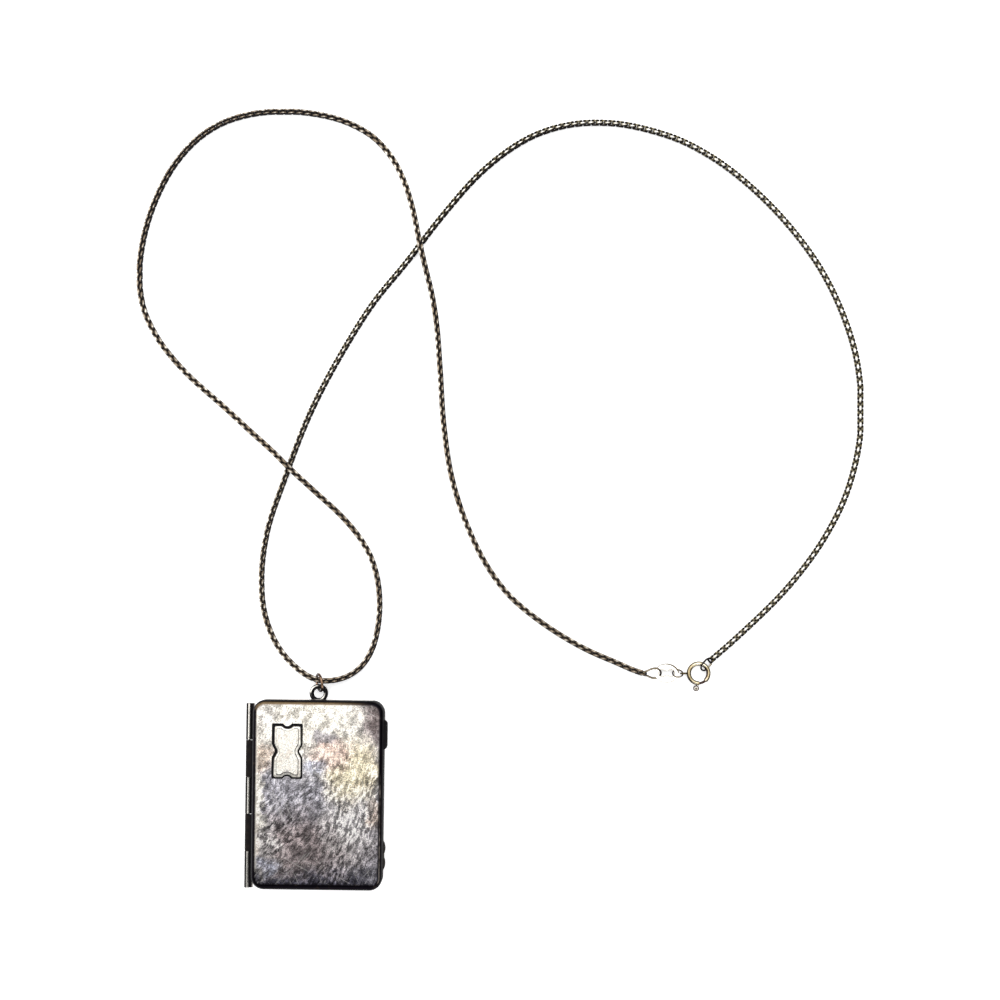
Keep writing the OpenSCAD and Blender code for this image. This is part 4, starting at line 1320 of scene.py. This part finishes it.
# %% [markdown]
# ## Laying the links
# Over 700 links are no work for hand placing, and an Array modifier on a curve would bend each link.
# Geometry Nodes put an instance on every point of the evenly divided curve instead: each one is
# aimed along the chain, and every other one is given a quarter turn. The whole chain also has a
# twist that changes along it, because a box chain rolls as it is laid down: it lies on an edge on
# the loops, and nearly flat on the neck's half. The very first link is narrower than the others,
# because it has to pass through the small ring by the tag.

# %% Twist of the chain
# How far along the chain, and the twist there as a share of a quarter turn. At 0.5 an edge is up
TWIST = [(0.0, 0.44), (0.03, 0.5), (0.2, 0.5), (0.235, 0.58), (0.29, 0.55), (0.32, 0.5), (0.455, 0.5),
         (0.53, 0.5), (0.585, 0.5), (0.64, 0.86), (0.72, 0.8), (0.8, 0.82), (0.88, 0.86), (0.95, 0.91),
         (1.0, 0.92)]


def twist_at(tree, how_far):
    """The twist at a share of the chain's length."""
    curve = add(tree, "ShaderNodeFloatCurve", None, {"Value": how_far})
    line = curve.mapping.curves[0]
    line.points[0].location, line.points[1].location = TWIST[0], TWIST[-1]
    for knot in TWIST[1:-1]:
        line.points.new(*knot)
    curve.mapping.update()
    return curve.outputs[0]


# %% Chain tree
chain_tree, source, result = new_group(
    "box_chain", "GeometryNodeTree",
    [("Geometry", "NodeSocketGeometry", None), ("Link", "NodeSocketObject", None),
     ("Links", "NodeSocketInt", 100), ("First", "NodeSocketInt", 0), ("Last", "NodeSocketInt", 99),
     ("Slim link", "NodeSocketFloat", 0.5), ("Seed", "NodeSocketInt", 7),
     ("Material", "NodeSocketMaterial", None)],
    [("Geometry", "NodeSocketGeometry")])


def compared(operation, first, second):
    """Whether a comparison of two whole numbers holds."""
    return add(chain_tree, "FunctionNodeCompare", {"data_type": "INT", "operation": operation},
               {2: first, 3: second}).outputs[0]


def stored(points, name, value):
    """The points with a value stored under a name."""
    return add(chain_tree, "GeometryNodeStoreNamedAttribute", {"data_type": "FLOAT", "domain": "POINT"},
               {"Geometry": points, "Name": name, "Value": value}).outputs[0]


spaced = add(chain_tree, "GeometryNodeCurveToPoints", {"mode": "COUNT"},
             {"Curve": source.outputs["Geometry"], "Count": source.outputs["Links"]})
number = add(chain_tree, "GeometryNodeInputIndex").outputs[0]
how_far = maths(chain_tree, "DIVIDE", number, maths(chain_tree, "SUBTRACT", source.outputs["Links"], 1))
every_other = maths(chain_tree, "MODULO", number, 2.0)
turns = maths(chain_tree, "SUBTRACT", every_other, twist_at(chain_tree, how_far))
roll = add(chain_tree, "FunctionNodeAxisAngleToRotation", None,
           {"Axis": (1, 0, 0), "Angle": maths(chain_tree, "MULTIPLY", turns, math.pi / 2)})
aim = add(chain_tree, "FunctionNodeAxesToRotation", {"primary_axis": "X", "secondary_axis": "Z"},
          {0: spaced.outputs["Tangent"], 1: (0, 0, 1)})
turned = add(chain_tree, "FunctionNodeRotateRotation", {"rotation_space": "LOCAL"},
             {0: aim.outputs[0], 1: roll.outputs[0]})
slim = mix(chain_tree, maths(chain_tree, "COMPARE", number, 0.0, 0.1), 1.0, source.outputs["Slim link"])
size = add(chain_tree, "ShaderNodeCombineXYZ", None, {"X": 1.0, "Y": slim, "Z": 1.0}).outputs[0]
wanted = add(chain_tree, "FunctionNodeBooleanMath", {"operation": "AND"},
             {0: compared("GREATER_EQUAL", number, source.outputs["First"]),
              1: compared("LESS_EQUAL", number, source.outputs["Last"])})
chance = add(chain_tree, "FunctionNodeRandomValue", {"data_type": "FLOAT"},
             {"ID": number, "Seed": source.outputs["Seed"]})
marked = stored(stored(spaced.outputs["Points"], "along", how_far), "tone", chance.outputs[1])
link_source = add(chain_tree, "GeometryNodeObjectInfo", None, {"Object": source.outputs["Link"]})
laid = add(chain_tree, "GeometryNodeInstanceOnPoints", None,
           {"Points": marked, "Selection": wanted.outputs[0], "Instance": link_source.outputs["Geometry"],
            "Rotation": turned.outputs[0], "Scale": size})
chain_tree.links.new(realized(chain_tree, laid.outputs[0], source.outputs["Material"]), result.inputs[0])
print("chain tree nodes:", len(chain_tree.nodes))


# %% Build both chain pieces
def chain_piece(name, first, last):
    """The links from first to last as one mesh."""
    curve = bpy.data.curves.new(name + "_line", "CURVE")
    curve.dimensions = "3D"
    spline = curve.splines.new("POLY")
    spline.points.add(len(centre_line) - 1)
    for point, place in zip(spline.points, centre_line):
        point.co = (*place, 1)
    guide = bpy.data.objects.new(name + "_line", curve)
    scene.collection.objects.link(guide)
    mesh = run_tree(guide, chain_tree, {"Link": link, "Links": link_count, "First": first, "Last": last,
                                        "Slim link": 0.5, "Seed": 7, "Material": chain_silver})
    bpy.data.objects.remove(guide)
    mesh.name = name
    made = bpy.data.objects.new(name, mesh)
    scene.collection.objects.link(made)
    print(name, "triangles:", sum(len(f.vertices) - 2 for f in mesh.polygons))
    return made


tag_side = chain_piece("chain_tag_links", 0, join_link)
clasp_side = chain_piece("chain_clasp_links", join_link + 1, link_count - 1)
bpy.data.objects.remove(link)
finish_piece(tag_side, chain_silver, "necklace", "chain_tag_side", slot="chain_silver")
finish_piece(clasp_side, chain_silver, "necklace", "chain_clasp_side", slot="chain_silver")

# %% [markdown]
# ## The small findings
# The rings, the tag, the spring ring and the pin have their true shape in the frame already. They
# only need their own metals: bright silver for the tag, a warmer one for the clasp, greyer ones for
# its knob and the pin, dark ones for the worn rings, and a coppery one for the jump ring.

# %% Dress the findings
FINDINGS = {"hinge_pin": pin_silver, "jump_ring": ring_copper, "left_end_ring": ring_silver,
            "oval_tag": tag_silver, "tag_ring": ring_silver, "clasp_body": clasp_silver,
            "clasp_trigger": knob_silver, "right_end_ring": end_silver}
for node, material in FINDINGS.items():
    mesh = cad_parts[node].data
    mesh.materials.clear()
    mesh.materials.append(material)
print("findings:", len(FINDINGS))

# %% [markdown]
# ## Table and light
# The photograph's ground is pure white, so the table is white paper that glows a little. A large
# softbox hangs over the far side, where the upper part of the cover mirrors it, and the lower part
# mirrors the dim room, which is what makes the hammer marks stand out. A low panel on the left
# lights the hinge, and a weaker light fills the shadows from the front.

# %% Table
TABLE_HALF = 3
TABLE_Z = -0.02 * MM
TABLE_GLOW = 0.46

table_corners = [(x * TABLE_HALF, y * TABLE_HALF, 0) for x, y in ((-1, -1), (1, -1), (1, 1), (-1, 1))]
floor = mesh_object("table", table_corners, [(0, 1, 2, 3)], Matrix.Translation((0, 0, TABLE_Z)))
paper, tree, shader, place = new_material("paper")
shader.inputs["Metallic"].default_value = 0.0
shader.inputs["Roughness"].default_value = 0.9
fibres = mix_colour(tree, noise(tree, place, 60.0, 4.0), (0.93, 0.93, 0.93, 1), (0.97, 0.97, 0.97, 1))
tree.links.new(fibres, shader.inputs["Base Color"])
shader.inputs["Emission Color"].default_value = (1, 1, 1, 1)
shader.inputs["Emission Strength"].default_value = TABLE_GLOW
floor.data.materials.append(paper)
print("table in metres:", 2 * TABLE_HALF)


# %% Lights
def area_light(name, place, target, size, power):
    """A soft rectangular light that faces a target."""
    data = bpy.data.lights.new(name, "AREA")
    data.shape, data.size, data.size_y, data.energy = "RECTANGLE", size[0], size[1], power
    lamp = bpy.data.objects.new(name, data)
    lamp.location = place
    lamp.rotation_euler = (Vector(target) - Vector(place)).to_track_quat("-Z", "Y").to_euler()
    scene.collection.objects.link(lamp)


# Name, place, what it faces, width and height, all in metres, and power in watts
area_light("softbox", (-0.05, 0.42, 0.62), (-0.05, 0.42, 0.0), (1.3, 1.1), 10)
area_light("left_panel", (-0.85, 0.05, 0.25), (0.0, 0.0, 0.0), (1.3, 0.45), 4)
area_light("front_fill", (0.15, -0.8, 0.6), (0.0, -0.05, 0.0), (1.2, 0.5), 4)
ROOM_COLOUR, ROOM_LIGHT = (0.9, 0.93, 1.0, 1), 0.12
world = bpy.data.worlds.new("studio")
world.use_nodes = True
room = world.node_tree.nodes["Background"]
room.inputs["Color"].default_value = ROOM_COLOUR
room.inputs["Strength"].default_value = ROOM_LIGHT
scene.world = world
print("lights:", [lamp.name for lamp in bpy.data.lights])
